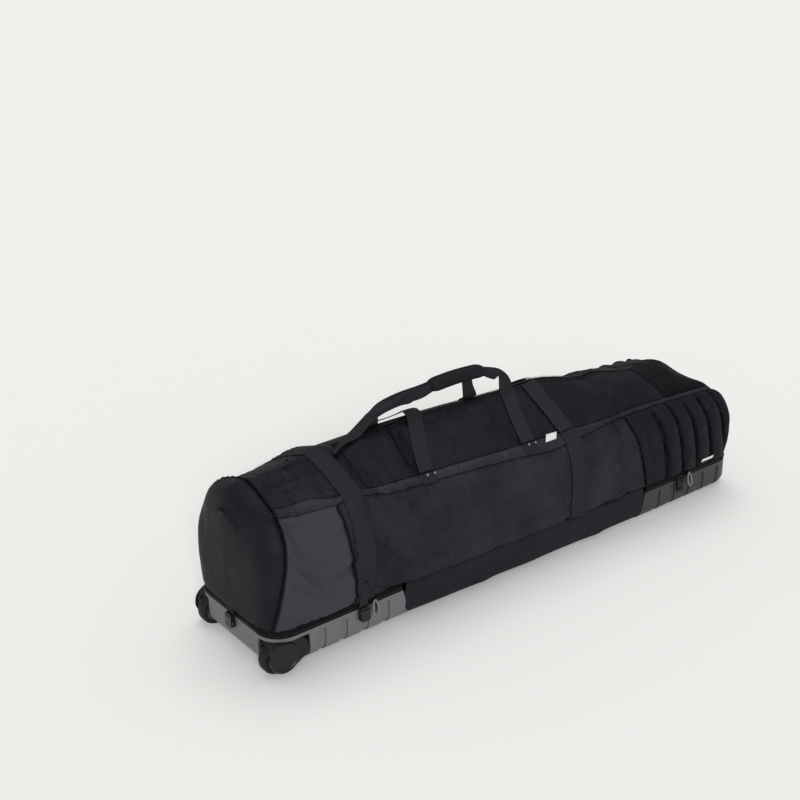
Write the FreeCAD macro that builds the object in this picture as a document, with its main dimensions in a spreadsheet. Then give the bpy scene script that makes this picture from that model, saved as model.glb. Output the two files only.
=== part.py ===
import FreeCAD, Part
import math
import os
import Sketcher

# Wheeled golf travel case, opened out to its full length. A hard ribbed tray closes each
# end from below, and a soft cover stands on the two trays. X runs from the wheel end to
# the pull-handle end, Y from the near side to the far side, Z up. Everything is in mm.

Vector = FreeCAD.Vector
NEAR, FAR = -1, 1
SIDE_NAMES = {NEAR: "near", FAR: "far"}

doc = FreeCAD.newDocument("GolfTravelCase")
sheet = doc.addObject("Spreadsheet::Sheet", "dims")

driving_dimensions = [
    # the case as a whole
    ("case_length", 1300), ("case_width", 280), ("wheel_end", -658),
    # hard trays
    ("tray_length", 320), ("tray_depth", 66), ("tray_wall", 4), ("tray_corner", 50),
    ("tray_edge", 28), ("tray_lean", 17), ("wheel_tray_lift", 13),
    ("groove_count", 5), ("groove_first", 61), ("groove_pitch", 50), ("groove_width", 16),
    ("groove_depth", 2), ("groove_top_gap", 9), ("plain_strip", 66),
    # wheels
    ("tyre_diameter", 64), ("tyre_width", 26), ("hub_diameter", 44), ("wheel_inset", 22),
    ("axle_diameter", 8), ("bearing_diameter", 22), ("bearing_width", 7),
    ("wheel_well_inner", 91), ("flange_thickness", 5.5), ("outer_flange", 10.5),
    ("housing_set_back", 2), ("housing_reach", 60), ("cap_radius", 33), ("cap_shift", 5),
    ("cap_rise", 8),
    # pull handle
    ("pull_reach", 34), ("pull_height", 33), ("pull_half_span", 62), ("pull_width", 30),
    ("pull_pivot", 10), ("pull_pin_diameter", 8),
    # fabric cover
    ("fabric_wall", 4), ("webbing_wall", 1.6), ("lay_gap", 0.4), ("strap_gap", 0.9),
    ("zip_height", 12),
    ("end_round", 46), ("ridge_wheel_end", 344), ("ridge_hoop", 368), ("ridge_handle", 376),
    ("ridge_middle", 367), ("ridge_pad", 342), ("ridge_head", 303), ("head_round", 190),
    ("head_foot", 108), ("half_bulge", 148), ("half_chest", 145), ("half_hinge", 112),
    ("half_crown", 56), ("hinge_start", 314), ("hinge_end", 268),
    ("flap_start", 250), ("flap_end", 1090), ("pad_lean", -70), ("pad_end", 1210),
    # webbing, handles and buckles
    ("hoop_width", 44), ("strap_width", 38), ("grip_height", 26), ("grip_half_depth", 17),
    ("grip_length", 142), ("grip_rise", 404), ("buckle_width", 22), ("buckle_length", 32),
    ("buckle_depth", 9.6), ("tab_width", 20),
]
for row, (alias, size) in enumerate(driving_dimensions, start=1):
    sheet.set(f"A{row}", alias)
    sheet.set(f"B{row}", str(size))
    sheet.setAlias(f"B{row}", alias)
doc.recompute()


def dim(alias):
    return float(sheet.get(alias))


case_length = dim("case_length")
wheel_end = dim("wheel_end")
head_end = wheel_end + case_length
half_width = dim("case_width") / 2
head_turn = case_length - dim("head_round")
fabric_wall = dim("fabric_wall")
lay_gap = dim("lay_gap")
strap_gap = dim("strap_gap")
webbing_wall = dim("webbing_wall")

subparts = []


# ---------------------------------------------------------------- document helpers

def new_body(label):
    body = doc.addObject("PartDesign::Body", label)
    body.Label = label
    subparts.append(body)
    return body


def new_feature(label, shape):
    feature = doc.addObject("Part::Feature", label)
    feature.Label = label
    feature.Shape = shape
    feature.Placement = FreeCAD.Placement()
    subparts.append(feature)
    return feature


def origin_plane(body, role):
    return next(item for item in body.Origin.OriginFeatures if item.Role == role)


def sketch_on(body, name, role, offset="0"):
    sketch = body.newObject("Sketcher::SketchObject", name)
    sketch.AttachmentSupport = [(origin_plane(body, role), "")]
    sketch.MapMode = "FlatFace"
    sketch.setExpression("AttachmentOffset.Base.z", offset)
    return sketch


def pin_point(sketch, geometry, end, x_size, y_size):
    # Holds one end of a line or arc at two bound distances from the sketch origin.
    for kind, size in (("DistanceX", x_size), ("DistanceY", y_size)):
        value = float(sketch.evalExpression(size))
        index = sketch.addConstraint(Sketcher.Constraint(kind, -1, 1, geometry, end, value))
        sketch.setExpression(f"Constraints[{index}]", size)


def arc_between(start, finish, radius, turn):
    # turn is 1 when the arc bends to the left on its way from start to finish.
    chord = finish - start
    half = chord.Length / 2
    rise = math.sqrt(max(radius ** 2 - half ** 2, 0))
    left = Vector(-chord.y, chord.x, 0).normalize()
    centre = (start + finish) / 2 + left * rise * turn
    bulge = left * -turn
    return Part.Arc(start, centre + bulge * radius, finish)


def add_loop(sketch, corners):
    # Adds one closed outline. Each corner is (x, y), or (x, y, radius, turn) when an arc
    # leads to it.
    first = sketch.GeometryCount
    points = [Vector(float(sketch.evalExpression(c[0])), float(sketch.evalExpression(c[1])), 0)
              for c in corners]
    for index, corner in enumerate(corners):
        start, finish = points[index - 1], points[index]
        if len(corner) == 4:
            radius = float(sketch.evalExpression(corner[2]))
            sketch.addGeometry(arc_between(start, finish, radius, corner[3]))
        else:
            sketch.addGeometry(Part.LineSegment(start, finish))
    for index, corner in enumerate(corners):
        following = (index + 1) % len(corners)
        backward = len(corner) == 4 and corner[3] == -1
        next_backward = len(corners[following]) == 4 and corners[following][3] == -1
        finish_end = 1 if backward else 2
        start_end = 2 if next_backward else 1
        sketch.addConstraint(Sketcher.Constraint(
            "Coincident", first + index, finish_end, first + following, start_end))
        pin_point(sketch, first + index, finish_end, corner[0], corner[1])
        if len(corner) == 4:
            radius = float(sketch.evalExpression(corner[2]))
            constraint = sketch.addConstraint(Sketcher.Constraint("Radius", first + index, radius))
            sketch.setExpression(f"Constraints[{constraint}]", corner[2])


def closed_sketch(body, name, role, corners, offset="0"):
    sketch = sketch_on(body, name, role, offset)
    add_loop(sketch, corners)
    return sketch


def box_corners(x_low, x_high, y_low, y_high):
    return [(x_low, y_low), (x_high, y_low), (x_high, y_high), (x_low, y_high)]


def circle_sketch(body, name, role, x_size, y_size, radius_size, offset="0"):
    sketch = sketch_on(body, name, role, offset)
    centre = Vector(float(sketch.evalExpression(x_size)), float(sketch.evalExpression(y_size)), 0)
    radius = float(sketch.evalExpression(radius_size))
    circle = sketch.addGeometry(Part.Circle(centre, Vector(0, 0, 1), radius))
    pin_point(sketch, circle, 3, x_size, y_size)
    constraint = sketch.addConstraint(Sketcher.Constraint("Radius", circle, radius))
    sketch.setExpression(f"Constraints[{constraint}]", radius_size)
    return sketch


def pad(body, name, sketch, length, both_ways=False):
    feature = body.newObject("PartDesign::Pad", name)
    feature.Profile = sketch
    feature.Midplane = both_ways
    feature.setExpression("Length", length)
    doc.recompute()
    return feature


def pocket(body, name, sketch, length, both_ways=False, reverse=False):
    before = body.Tip.Shape.Volume
    feature = body.newObject("PartDesign::Pocket", name)
    feature.Profile = sketch
    feature.Midplane = both_ways
    feature.Reversed = reverse
    feature.setExpression("Length", length)
    doc.recompute()
    if feature.Shape.Volume >= before - 1:
        raise RuntimeError(f"{body.Label}: {name} removes nothing")
    return feature


def revolve(body, name, sketch, axis="V_Axis"):
    feature = body.newObject("PartDesign::Revolution", name)
    feature.Profile = sketch
    feature.ReferenceAxis = (sketch, [axis])
    feature.Angle = 360
    doc.recompute()
    return feature


def soften(body, name, base, radius, chosen):
    names = [f"Edge{i}" for i, edge in enumerate(base.Shape.Edges, start=1) if chosen(edge)]
    if not names:
        raise RuntimeError(f"{body.Label}: {name} finds no edge")
    feature = body.newObject("PartDesign::Fillet", name)
    feature.Base = (base, names)
    feature.setExpression("Radius", radius)
    doc.recompute()
    return feature


def place(body, x_size, y_size, z_size, turn=0):
    body.Placement = FreeCAD.Placement(Vector(), FreeCAD.Rotation(Vector(0, 0, 1), turn))
    for axis, size in (("x", x_size), ("y", y_size), ("z", z_size)):
        body.setExpression(f"Placement.Base.{axis}", size)


# ---------------------------------------------------------------- hard trays

def make_tray(label, end_size, inward, bottom_size):
    # A moulded tray: a deep shell with an open top and an open inner end. Wide grooves
    # run across its bottom, round the edge and up both side walls, and leave a plain
    # strip along the middle. inward is the X direction from the end wall to the open end.
    body = new_body(label)
    side = "dims.case_width / 2"
    inner = f"{end_size} + {inward} * dims.tray_length"
    rim = f"{bottom_size} + dims.tray_depth"
    plan = closed_sketch(body, "plan", "XY_Plane",
                         box_corners(end_size, inner, f"-{side}", side), bottom_size)
    block = pad(body, "block", plan, "dims.tray_depth")
    end_x = float(plan.evalExpression(end_size))
    bottom_z = float(plan.evalExpression(bottom_size))
    rim_z = bottom_z + dim("tray_depth")
    inner_x = end_x + inward * dim("tray_length")
    corners = soften(body, "corners", block, "dims.tray_corner", lambda edge:
                     edge.BoundBox.ZLength > 1 and abs(edge.CenterOfMass.x - end_x) < 1)
    edges = soften(body, "bottom_edge", corners, "dims.tray_edge", lambda edge:
                   abs(edge.BoundBox.ZMax - bottom_z) < 0.1
                   and abs(edge.CenterOfMass.x - inner_x) > 1)
    lean = closed_sketch(body, "lean", "XZ_Plane", [
        (inner, bottom_size), (f"{inner} + {inward} * 5", bottom_size),
        (f"{inner} + {inward} * 5", f"{rim} + 1"),
        (f"{inner} - {inward} * dims.tray_lean * (dims.tray_depth + 1) / dims.tray_depth",
         f"{rim} + 1")])
    leant = pocket(body, "leaning_end", lean, "dims.case_width * 2", both_ways=True)
    open_faces = [f"Face{i}" for i, face in enumerate(leant.Shape.Faces, start=1)
                  if face.BoundBox.ZMin > rim_z - 1
                  or (face.BoundBox.YLength > 200 and 10 < face.BoundBox.XLength < 20)]
    shell = body.newObject("PartDesign::Thickness", "shell")
    shell.Base = (leant, open_faces)
    shell.setExpression("Value", "dims.tray_wall")
    shell.Reversed = True
    doc.recompute()

    # One groove on each side of the plain strip, cut as a band that follows the wall.
    groove = sketch_on(body, "groove", "YZ_Plane",
                       f"{end_size} + {inward} * dims.groove_first")
    band = groove_band(groove, bottom_size)
    first = pocket(body, "first_grooves", band, "dims.groove_width", both_ways=True)
    row = body.newObject("PartDesign::LinearPattern", "groove_row")
    row.Originals = [first]
    row.Direction = (groove, ["N_Axis"])
    row.Reversed = inward < 0
    row.setExpression("Length", "dims.groove_pitch * (dims.groove_count - 1)")
    row.setExpression("Occurrences", "dims.groove_count")
    body.Tip = row
    doc.recompute()
    if row.Shape.Volume >= first.Shape.Volume - 1:
        raise RuntimeError(f"{label}: the row of grooves is not cut")
    return body


def groove_band(sketch, bottom_size):
    # Two closed bands, one for each half of the tray. Each follows the bottom, the round
    # edge and the side wall at the depth of the groove.
    deep = "dims.groove_depth"
    radius = f"(dims.tray_edge - {deep})"
    for sign in (NEAR, FAR):
        side = f"{sign} * dims.case_width / 2"
        outside = f"{sign} * (dims.case_width / 2 + 3)"
        wall = f"{sign} * (dims.case_width / 2 - {deep})"
        corners = [
            (f"{sign} * dims.plain_strip / 2", f"{bottom_size} - 3"),
            (outside, f"{bottom_size} - 3"),
            (outside, f"{bottom_size} + dims.tray_depth - dims.groove_top_gap"),
            (wall, f"{bottom_size} + dims.tray_depth - dims.groove_top_gap"),
            (wall, f"{bottom_size} + dims.tray_edge"),
            (f"{side} - {sign} * dims.tray_edge", f"{bottom_size} + {deep}", radius, -sign),
            (f"{sign} * dims.plain_strip / 2", f"{bottom_size} + {deep}"),
        ]
        add_loop(sketch, corners)
    return sketch


def cut_wheel_wells(body):
    # Two corner pockets, open below and outside, take the wheel housings.
    wells = sketch_on(body, "wells", "XY_Plane", "dims.wheel_tray_lift")
    for sign in (NEAR, FAR):
        add_loop(wells, box_corners(
            "dims.wheel_end - 1", "dims.wheel_end + dims.wheel_inset + dims.housing_reach + 1",
            f"{sign} * (dims.wheel_well_inner - 1)", f"{sign} * (dims.case_width / 2 + 1)"))
    pocket(body, "wheel_wells", wells, "dims.tray_depth - 7", reverse=True)


wheel_tray = make_tray("wheel_tray", "dims.wheel_end", 1, "dims.wheel_tray_lift")
cut_wheel_wells(wheel_tray)
make_tray("head_tray", "(dims.wheel_end + dims.case_length)", -1, "0")


# ---------------------------------------------------------------- wheels

axle_x = "(dims.wheel_end + dims.wheel_inset)"
axle_z = "(dims.tyre_diameter / 2)"
cap_x = f"({axle_x} + dims.cap_shift)"
cap_z = f"({axle_z} + dims.cap_rise)"
wheel_y = "(dims.wheel_well_inner + dims.flange_thickness + 2.5 + dims.tyre_width / 2)"
outer_face = "(dims.case_width / 2 - dims.housing_set_back)"


def make_wheel_housing(sign):
    # A moulded corner bracket: an inner flange and a thick round outer one that hides the
    # wheel's face, joined by a roof and a tail.
    body = new_body(f"wheel_housing_{SIDE_NAMES[sign]}")
    lower, upper = "dims.wheel_well_inner", outer_face
    pad_plane = lower if sign == NEAR else f"-{upper}"
    roof = f"{axle_z} + 39.5"
    radius = "dims.cap_radius"
    outline = closed_sketch(body, "side_outline", "XZ_Plane", [
        (f"{cap_x} - 14", f"{cap_z} + sqrt({radius} ^ 2 - 14 ^ 2)"),
        (f"{cap_x} + 0.6 * {radius}", f"{cap_z} - 0.8 * {radius}", radius, 1),
        (f"{axle_x} + 46", f"{axle_z} - 6"),
        (f"{axle_x} + dims.housing_reach", f"{axle_z} + 4", "14", 1),
        (f"{axle_x} + dims.housing_reach", f"{axle_z} + 10"),
        (f"{axle_x} + dims.housing_reach - 29.5", roof, "29.5", 1),
        (f"{cap_x} - 14", roof)], pad_plane)
    pad(body, "bracket", outline, f"{upper} - {lower}")
    inner, outer = "dims.flange_thickness", "dims.outer_flange"
    slot_plane = f"{upper} - {outer}" if sign == NEAR else f"-({lower} + {inner})"
    slot = circle_sketch(body, "wheel_slot", "XZ_Plane", axle_x, axle_z,
                         "dims.tyre_diameter / 2 + 1.8", slot_plane)
    pocket(body, "wheel_room", slot, f"{upper} - {lower} - {inner} - {outer}")
    bore = circle_sketch(body, "axle_hole", "XZ_Plane", axle_x, axle_z,
                         "dims.axle_diameter / 2 + 0.05", f"{-sign} * {wheel_y}")
    pocket(body, "axle_bore", bore, "80", both_ways=True)


def make_wheel_cap(sign):
    # A round cover on the outer flange, with one raised ring.
    body = new_body(f"wheel_cap_{SIDE_NAMES[sign]}")
    radius = "(dims.cap_radius - 1)"
    outline = closed_sketch(body, "ringed_outline", "XY_Plane", [
        ("0", "0"), (radius, "0"), (f"{radius} - 2", "3.6"), (f"{radius} - 6", "3.6"),
        (f"{radius} - 7.5", "2.2"), ("0", "2.8")])
    revolve(body, "ringed_disc", outline)
    place(body, cap_x, f"{sign} * ({outer_face} + 0.2)", cap_z, 180 if sign == NEAR else 0)


def make_tyre(sign):
    body = new_body(f"tyre_{SIDE_NAMES[sign]}")
    seat = "dims.hub_diameter / 2 + 0.05"
    shoulder = "dims.tyre_diameter / 2 - 3"
    half = "dims.tyre_width / 2"
    tread = "dims.tyre_diameter / 2"
    outline = closed_sketch(body, "crowned_section", "XY_Plane", [
        (seat, f"-{half}"), (shoulder, f"-{half}"), (tread, f"-{half} + 6"),
        (tread, f"{half} - 6"), (shoulder, half), (seat, half)])
    revolve(body, "crowned_tyre", outline)
    place(body, axle_x, f"{sign} * {wheel_y}", axle_z)


def make_hub(sign):
    # A solid spool with a seat for a ball bearing at each end.
    body = new_body(f"hub_{SIDE_NAMES[sign]}")
    rim = "dims.hub_diameter / 2"
    seat = "dims.bearing_diameter / 2"
    half = "dims.tyre_width / 2"
    seat_end = f"({half} - dims.bearing_width)"
    upper = [("5.5", seat_end), (seat, seat_end), (seat, half), (rim, half)]
    lower = [(x_size, f"-({y_size})") for x_size, y_size in reversed(upper)]
    outline = closed_sketch(body, "spool_section", "XY_Plane", upper + lower)
    revolve(body, "spool", outline)
    place(body, axle_x, f"{sign} * {wheel_y}", axle_z)


def cylinder_along_y(radius, y_low, y_high):
    return Part.makeCylinder(radius, y_high - y_low, Vector(0, y_low, 0), Vector(0, 1, 0))


def make_bearings(sign):
    half = dim("tyre_width") / 2
    width = dim("bearing_width")
    rings = []
    for end in (NEAR, FAR):
        low = min(end * half, end * (half - width))
        ring = cylinder_along_y(dim("bearing_diameter") / 2 - 0.05, low, low + width)
        rings.append(ring.cut(cylinder_along_y(dim("axle_diameter") / 2 + 0.05, low, low + width)))
    feature = new_feature(f"bearings_{SIDE_NAMES[sign]}", Part.makeCompound(rings))
    place(feature, axle_x, f"{sign} * {wheel_y}", axle_z)


def make_axle(sign):
    body = new_body(f"axle_{SIDE_NAMES[sign]}")
    radius = "dims.axle_diameter / 2"
    outline = closed_sketch(body, "pin_section", "XY_Plane", box_corners(
        "0", radius, "-1", f"{outer_face} - dims.wheel_well_inner - 0.5"))
    revolve(body, "pin", outline)
    place(body, axle_x, f"{sign} * dims.wheel_well_inner", axle_z, 180 if sign == NEAR else 0)


for sign in (NEAR, FAR):
    make_wheel_housing(sign)
    make_wheel_cap(sign)
    make_tyre(sign)
    make_hub(sign)
    make_bearings(sign)
    make_axle(sign)


# ---------------------------------------------------------------- pull handle

pull_x = "(dims.wheel_end + dims.case_length + dims.pull_pivot)"
wall_x = "(dims.wheel_end + dims.case_length)"


def make_pull_core():
    # A stiff bar with an arm and a stub pin at each end, so that it can tip in its brackets.
    body = new_body("pull_core")
    span = "dims.pull_half_span"
    bar = closed_sketch(body, "bow", "XY_Plane", [
        ("-1", f"-({span} + 9)"), ("18", f"-({span} + 9)"), ("18", f"{span} + 9"),
        ("-1", f"{span} + 9"), ("-1", f"{span} + 2"), ("10", f"{span} + 2"),
        ("10", f"-({span} + 2)"), ("-1", f"-({span} + 2)")])
    bow = pad(body, "bow_bar", bar, "12", both_ways=True)
    soften(body, "bow_rounding", bow, "3", lambda edge:
           edge.BoundBox.ZLength > 11 and abs(edge.CenterOfMass.y) > dim("pull_half_span") + 8)
    for sign in (NEAR, FAR):
        plane = f"{span} + 8.5" if sign == NEAR else f"-({span} + 19)"
        pin = circle_sketch(body, f"pin_{SIDE_NAMES[sign]}", "XZ_Plane", "0", "0",
                            "dims.pull_pin_diameter / 2", plane)
        pad(body, f"stub_pin_{SIDE_NAMES[sign]}", pin, "10.5")
    place(body, pull_x, "0", "dims.pull_height")


def make_pull_grip():
    # A moulded rubber sleeve with a crowned face and a row of slots.
    body = new_body("pull_grip")
    span = "dims.pull_half_span"
    inner = "7"
    shoulder = "dims.pull_reach - dims.pull_pivot - 4"
    outline = closed_sketch(body, "crowned_plan", "XY_Plane", [
        (inner, f"-{span}"), (shoulder, f"-{span}"),
        (shoulder, span, f"({span} ^ 2 + 16) / 8", 1), (inner, span)])
    sleeve = pad(body, "sleeve", outline, "dims.pull_width", both_ways=True)
    soften(body, "sleeve_rounding", sleeve, "5", lambda edge:
           edge.BoundBox.YLength > 100)
    core = closed_sketch(body, "core_room", "XZ_Plane", box_corners("9.6", "18.4", "-6.4", "6.4"))
    pocket(body, "core_slot", core, "dims.case_width", both_ways=True)
    slot = closed_sketch(body, "slot", "YZ_Plane", box_corners(
        f"-{span} + 12", f"-{span} + 23", "-4", "4"), "dims.pull_reach - dims.pull_pivot + 1")
    first = pocket(body, "first_slot", slot, "4.5")
    row = body.newObject("PartDesign::LinearPattern", "slot_row")
    row.Originals = [first]
    row.Direction = (slot, ["H_Axis"])
    row.Length = 1
    row.setExpression("Length", f"2 * {span} - 35")
    row.Occurrences = 6
    body.Tip = row
    doc.recompute()
    if row.Shape.Volume >= first.Shape.Volume - 1:
        raise RuntimeError("pull_grip: the row of slots is not cut")
    place(body, pull_x, "0", "dims.pull_height")


def make_pull_bracket(sign):
    # A screwed plate with a round-nosed boss that holds one stub pin.
    body = new_body(f"pull_bracket_{SIDE_NAMES[sign]}")
    span = "dims.pull_half_span"
    plate = closed_sketch(body, "plate", "YZ_Plane", box_corners(
        f"{sign} * ({span} - 3)", f"{sign} * ({span} + 26)", "dims.pull_height - 17",
        "dims.pull_height + 17"), f"{wall_x} + 0.2")
    base = pad(body, "plate_pad", plate, "4")
    soften(body, "plate_rounding", base, "5", lambda edge:
           edge.BoundBox.XLength > 3.5)
    nose_plane = f"{span} + 10" if sign == NEAR else f"-({span} + 22)"
    nose = closed_sketch(body, "nose", "XZ_Plane", [
        (f"{wall_x} + 3", "dims.pull_height - 8"), (pull_x, "dims.pull_height - 8"),
        (f"{pull_x}", "dims.pull_height + 8", "8.0001", 1), (f"{wall_x} + 3", "dims.pull_height + 8")],
        nose_plane)
    pad(body, "boss", nose, "12")
    bore_plane = f"{span} + 19.5" if sign == NEAR else f"-({span} + 9)"
    bore = circle_sketch(body, "pin_hole", "XZ_Plane", pull_x, "dims.pull_height",
                         "dims.pull_pin_diameter / 2 + 0.05", bore_plane)
    pocket(body, "pin_bore", bore, "10.5")


make_pull_core()
make_pull_grip()
for sign in (NEAR, FAR):
    make_pull_bracket(sign)


def prism(sides, radius, height, seat, outward):
    # A straight prism with a regular outline, standing on its seat.
    corners = [Vector(radius * math.cos(2 * math.pi * k / sides),
                      radius * math.sin(2 * math.pi * k / sides), 0) for k in range(sides + 1)]
    shape = Part.Face(Part.makePolygon(corners)).extrude(Vector(0, 0, height))
    shape.Placement = FreeCAD.Placement(seat, FreeCAD.Rotation(Vector(0, 0, 1), outward))
    return shape


def make_screws():
    # Hexagon heads: two on each pull bracket, two in each wheel housing.
    def screw(head_seat, outward):
        return prism(6, 3.5, 2.2, head_seat, outward)

    screws = []
    for sign in (NEAR, FAR):
        for rise in (-12, 12):
            seat = Vector(head_end + 4.25, sign * (dim("pull_half_span") + 6), dim("pull_height") + rise)
            screws.append(screw(seat, Vector(1, 0, 0)))
        for rise in (2, 28):
            seat = Vector(wheel_end + dim("wheel_inset") + 48, sign * (dim("wheel_well_inner") - 0.05),
                          dim("tyre_diameter") / 2 + rise)
            screws.append(screw(seat, Vector(0, -sign, 0)))
    new_feature("tray_screws", Part.makeCompound(screws))


make_screws()


# ---------------------------------------------------------------- shape of the cover
#
# The cover is one tube of fabric. Along it runs s, the distance from the wheel-end wall.
# Round it runs u, from 0 at the near rim over the ridge at 5 to 10 at the far rim; the
# hinge lines of the top flaps lie at 3 and 7. A depth of 0 is its outer face.

near_hinge, ridge_line, far_hinge, far_rim = 3, 5, 7, 10
zip_half = 0.12

wheel_rim = dim("wheel_tray_lift") + dim("tray_depth")
head_rim = dim("tray_depth")
zip_height = dim("zip_height")
wheel_tray_mouth = dim("tray_length") - dim("tray_lean")
head_tray_mouth = case_length - wheel_tray_mouth


def through(stations, s):
    # A smooth line through (distance, value) stations, level beyond the first and last.
    if s <= stations[0][0]:
        return stations[0][1]
    if s >= stations[-1][0]:
        return stations[-1][1]
    slopes = []
    for index in range(len(stations)):
        before = stations[max(index - 1, 0)]
        after = stations[min(index + 1, len(stations) - 1)]
        slopes.append((after[1] - before[1]) / (after[0] - before[0]))
    index = max(i for i in range(len(stations) - 1) if stations[i][0] <= s)
    (s0, v0), (s1, v1) = stations[index], stations[index + 1]
    span = s1 - s0
    k = (s - s0) / span
    return ((1 + 2 * k) * (1 - k) ** 2 * v0 + k * (1 - k) ** 2 * span * slopes[index]
            + k * k * (3 - 2 * k) * v1 + k * k * (k - 1) * span * slopes[index + 1])


ridge_stations = [
    (dim("end_round"), dim("ridge_wheel_end")), (240, dim("ridge_hoop")),
    (386, dim("ridge_handle")), (640, dim("ridge_middle")), (880, dim("ridge_pad")),
    (head_turn, dim("ridge_head")),
]


def rounding(distance, radius):
    # How far a rounded corner stands back at a distance from the wall that it turns into.
    if distance >= radius:
        return 0
    return radius - math.sqrt(radius ** 2 - (radius - max(distance, 0)) ** 2)


def foot_height(s):
    # The lower edge of the cover: just above the zips on the trays, level with them.
    high = wheel_rim + zip_height + lay_gap
    low = head_rim + zip_height + lay_gap
    share = (s - wheel_tray_mouth) / (head_tray_mouth - wheel_tray_mouth)
    return high + (low - high) * min(max(share, 0), 1)


def ridge_height(s):
    if s <= head_turn:
        return through(ridge_stations, s) - rounding(s, dim("end_round"))
    share = min((s - head_turn) / dim("head_round"), 1)
    foot = dim("head_foot")
    return foot + (dim("ridge_head") - foot) * math.sqrt(1 - share ** 2)


def hinge_height(s):
    start, end = dim("flap_start"), dim("flap_end")
    slope = (dim("hinge_end") - dim("hinge_start")) / (end - start)
    line = dim("hinge_start") + slope * (s - start)
    if s < start:
        return dim("hinge_start") - 0.045 * (start - s) - rounding(s, dim("end_round"))
    if s <= end:
        return line
    return min(line, ridge_height(s) - 7)


def half_section(s):
    # Five (half width, height) points of one half of the section, from rim to ridge.
    foot, hinge, ridge = foot_height(s), hinge_height(s), ridge_height(s)
    corner = dim("tray_corner")
    stand_back = rounding(min(s, case_length - s), corner)
    narrow = (dim("half_bulge") - stand_back) / dim("half_bulge")
    rise = hinge - foot
    return [
        ((half_width - 1) * narrow, foot),
        (dim("half_bulge") * narrow, foot + 0.40 * rise),
        (dim("half_chest") * narrow, foot + 0.76 * rise),
        (dim("half_hinge") * narrow, hinge),
        (dim("half_crown") * narrow, hinge + 0.68 * (ridge - hinge)),
        (0, ridge),
    ]


def cover_point(s, u, depth=0, lean=0, lean_height=200):
    # A point of the cover. With a lean, s is taken at lean_height and grows with height.
    along = s
    for attempt in range(4 if lean else 1):
        near_half = half_section(along)
        ring = [(-y, z) for y, z in near_half] + [(y, z) for y, z in reversed(near_half[:-1])]
        index = min(int(u), far_rim - 1)
        k = u - index
        p0 = ring[max(index - 1, 0)]
        p1, p2 = ring[index], ring[index + 1]
        p3 = ring[min(index + 2, far_rim)]
        place_yz, slope_yz = [], []
        for axis in (0, 1):
            m1 = (p2[axis] - p0[axis]) / (1 if index == 0 else 2)
            m2 = (p3[axis] - p1[axis]) / (1 if index == far_rim - 1 else 2)
            a, b = p1[axis], p2[axis]
            place_yz.append((1 + 2 * k) * (1 - k) ** 2 * a + k * (1 - k) ** 2 * m1
                            + k * k * (3 - 2 * k) * b + k * k * (k - 1) * m2)
            slope_yz.append(6 * k * (k - 1) * (a - b) + (1 - 4 * k + 3 * k * k) * m1
                            + (3 * k * k - 2 * k) * m2)
        length = math.hypot(*slope_yz)
        y = place_yz[0] + depth * slope_yz[1] / length
        z = place_yz[1] - depth * slope_yz[0] / length
        along = s + lean * (z - lean_height)
    return Vector(wheel_end + along, y, z)


def spread(low, high, count):
    return [low + (high - low) * k / (count - 1) for k in range(count)]


def faceted(sections):
    # A closed solid through matching rings of corners, skinned with flat triangles.
    faces = []
    for here, there in zip(sections, sections[1:]):
        for index, corner in enumerate(here):
            following = (index + 1) % len(here)
            for triangle in ((corner, here[following], there[following]),
                             (corner, there[following], there[index])):
                faces.append(Part.Face(Part.makePolygon([*triangle, triangle[0]])))
    for ring in (sections[0], sections[-1]):
        faces.append(Part.Face(Part.makePolygon([*ring, ring[0]])))
    solid = Part.makeSolid(Part.makeShell(faces))
    if solid.Volume < 0:
        solid.reverse()
    return solid


def panel(stations, u_low, u_high, outer=0, inner=fabric_wall, lean=lambda s: 0, rows=None):
    # A sewn panel: a loft through closed sections, each made of an outer line, an inner
    # line and the two cut edges. u_low, u_high and outer may depend on s.
    def at(size, s):
        return size(s) if callable(size) else size

    sections = []
    for s in stations:
        low, high = at(u_low, s), at(u_high, s)
        count = rows or max(4, round(2.5 * (high - low)) + 2)
        steps = spread(low, high, count)
        outside = [cover_point(s, u, at(outer, s), lean(s)) for u in steps]
        inside = [cover_point(s, u, inner, lean(s)) for u in steps]
        sections.append([*outside, *inside[::-1]])
    return faceted(sections)


def ribbon(stations):
    # A ribbon: each station is its middle, its half width as a vector, and the direction
    # in which it is thick.
    sections = []
    for middle, half, thick in stations:
        lift = thick.normalize() * (webbing_wall / 2)
        corners = [middle - half + lift, middle + half + lift, middle + half - lift,
                   middle - half - lift]
        sections.append(corners)
    return faceted(sections)


def lying(s, u, width, depth):
    # A station of a ribbon that lies on the cover.
    middle = cover_point(s, u, depth)
    half = (cover_point(s + width / 2, u, depth) - cover_point(s - width / 2, u, depth)) / 2
    return middle, half, middle - cover_point(s, u)


def strip_round(line, width, u_steps, layer=1):
    # A strip of webbing laid round the cover along line(u), on top of layer - 1 others.
    depth = -(strap_gap + webbing_wall) * layer + webbing_wall / 2
    return ribbon([lying(line(u), u, width, depth) for u in u_steps])


def laid_steps(s, low, high):
    # Where a strip bends with the panels under it on its way from u = low to u = high.
    edge = yoke_edge(s)
    breaks = [*spread(0, edge - edge_gap, 8), *spread(edge, near_hinge - 0.02, 4),
              *spread(near_hinge + 0.01, far_hinge - 0.01, 12)]
    return [low, *(u for u in breaks if low + 0.02 < u < high - 0.02), high]


def both_sides(shape):
    return {NEAR: shape, FAR: shape.mirror(Vector(), Vector(0, 1, 0))}


# ---------------------------------------------------------------- sewn panels

seam_gap = 0.3
edge_gap = 0.015
arch_seam = dim("end_round")
flap_start, flap_end = dim("flap_start"), dim("flap_end")
pad_end = dim("pad_end")
side_seam = 182
pad_seam = 959
side_seam_lean = -0.09
pad_seam_lean = dim("pad_lean") / 203


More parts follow.
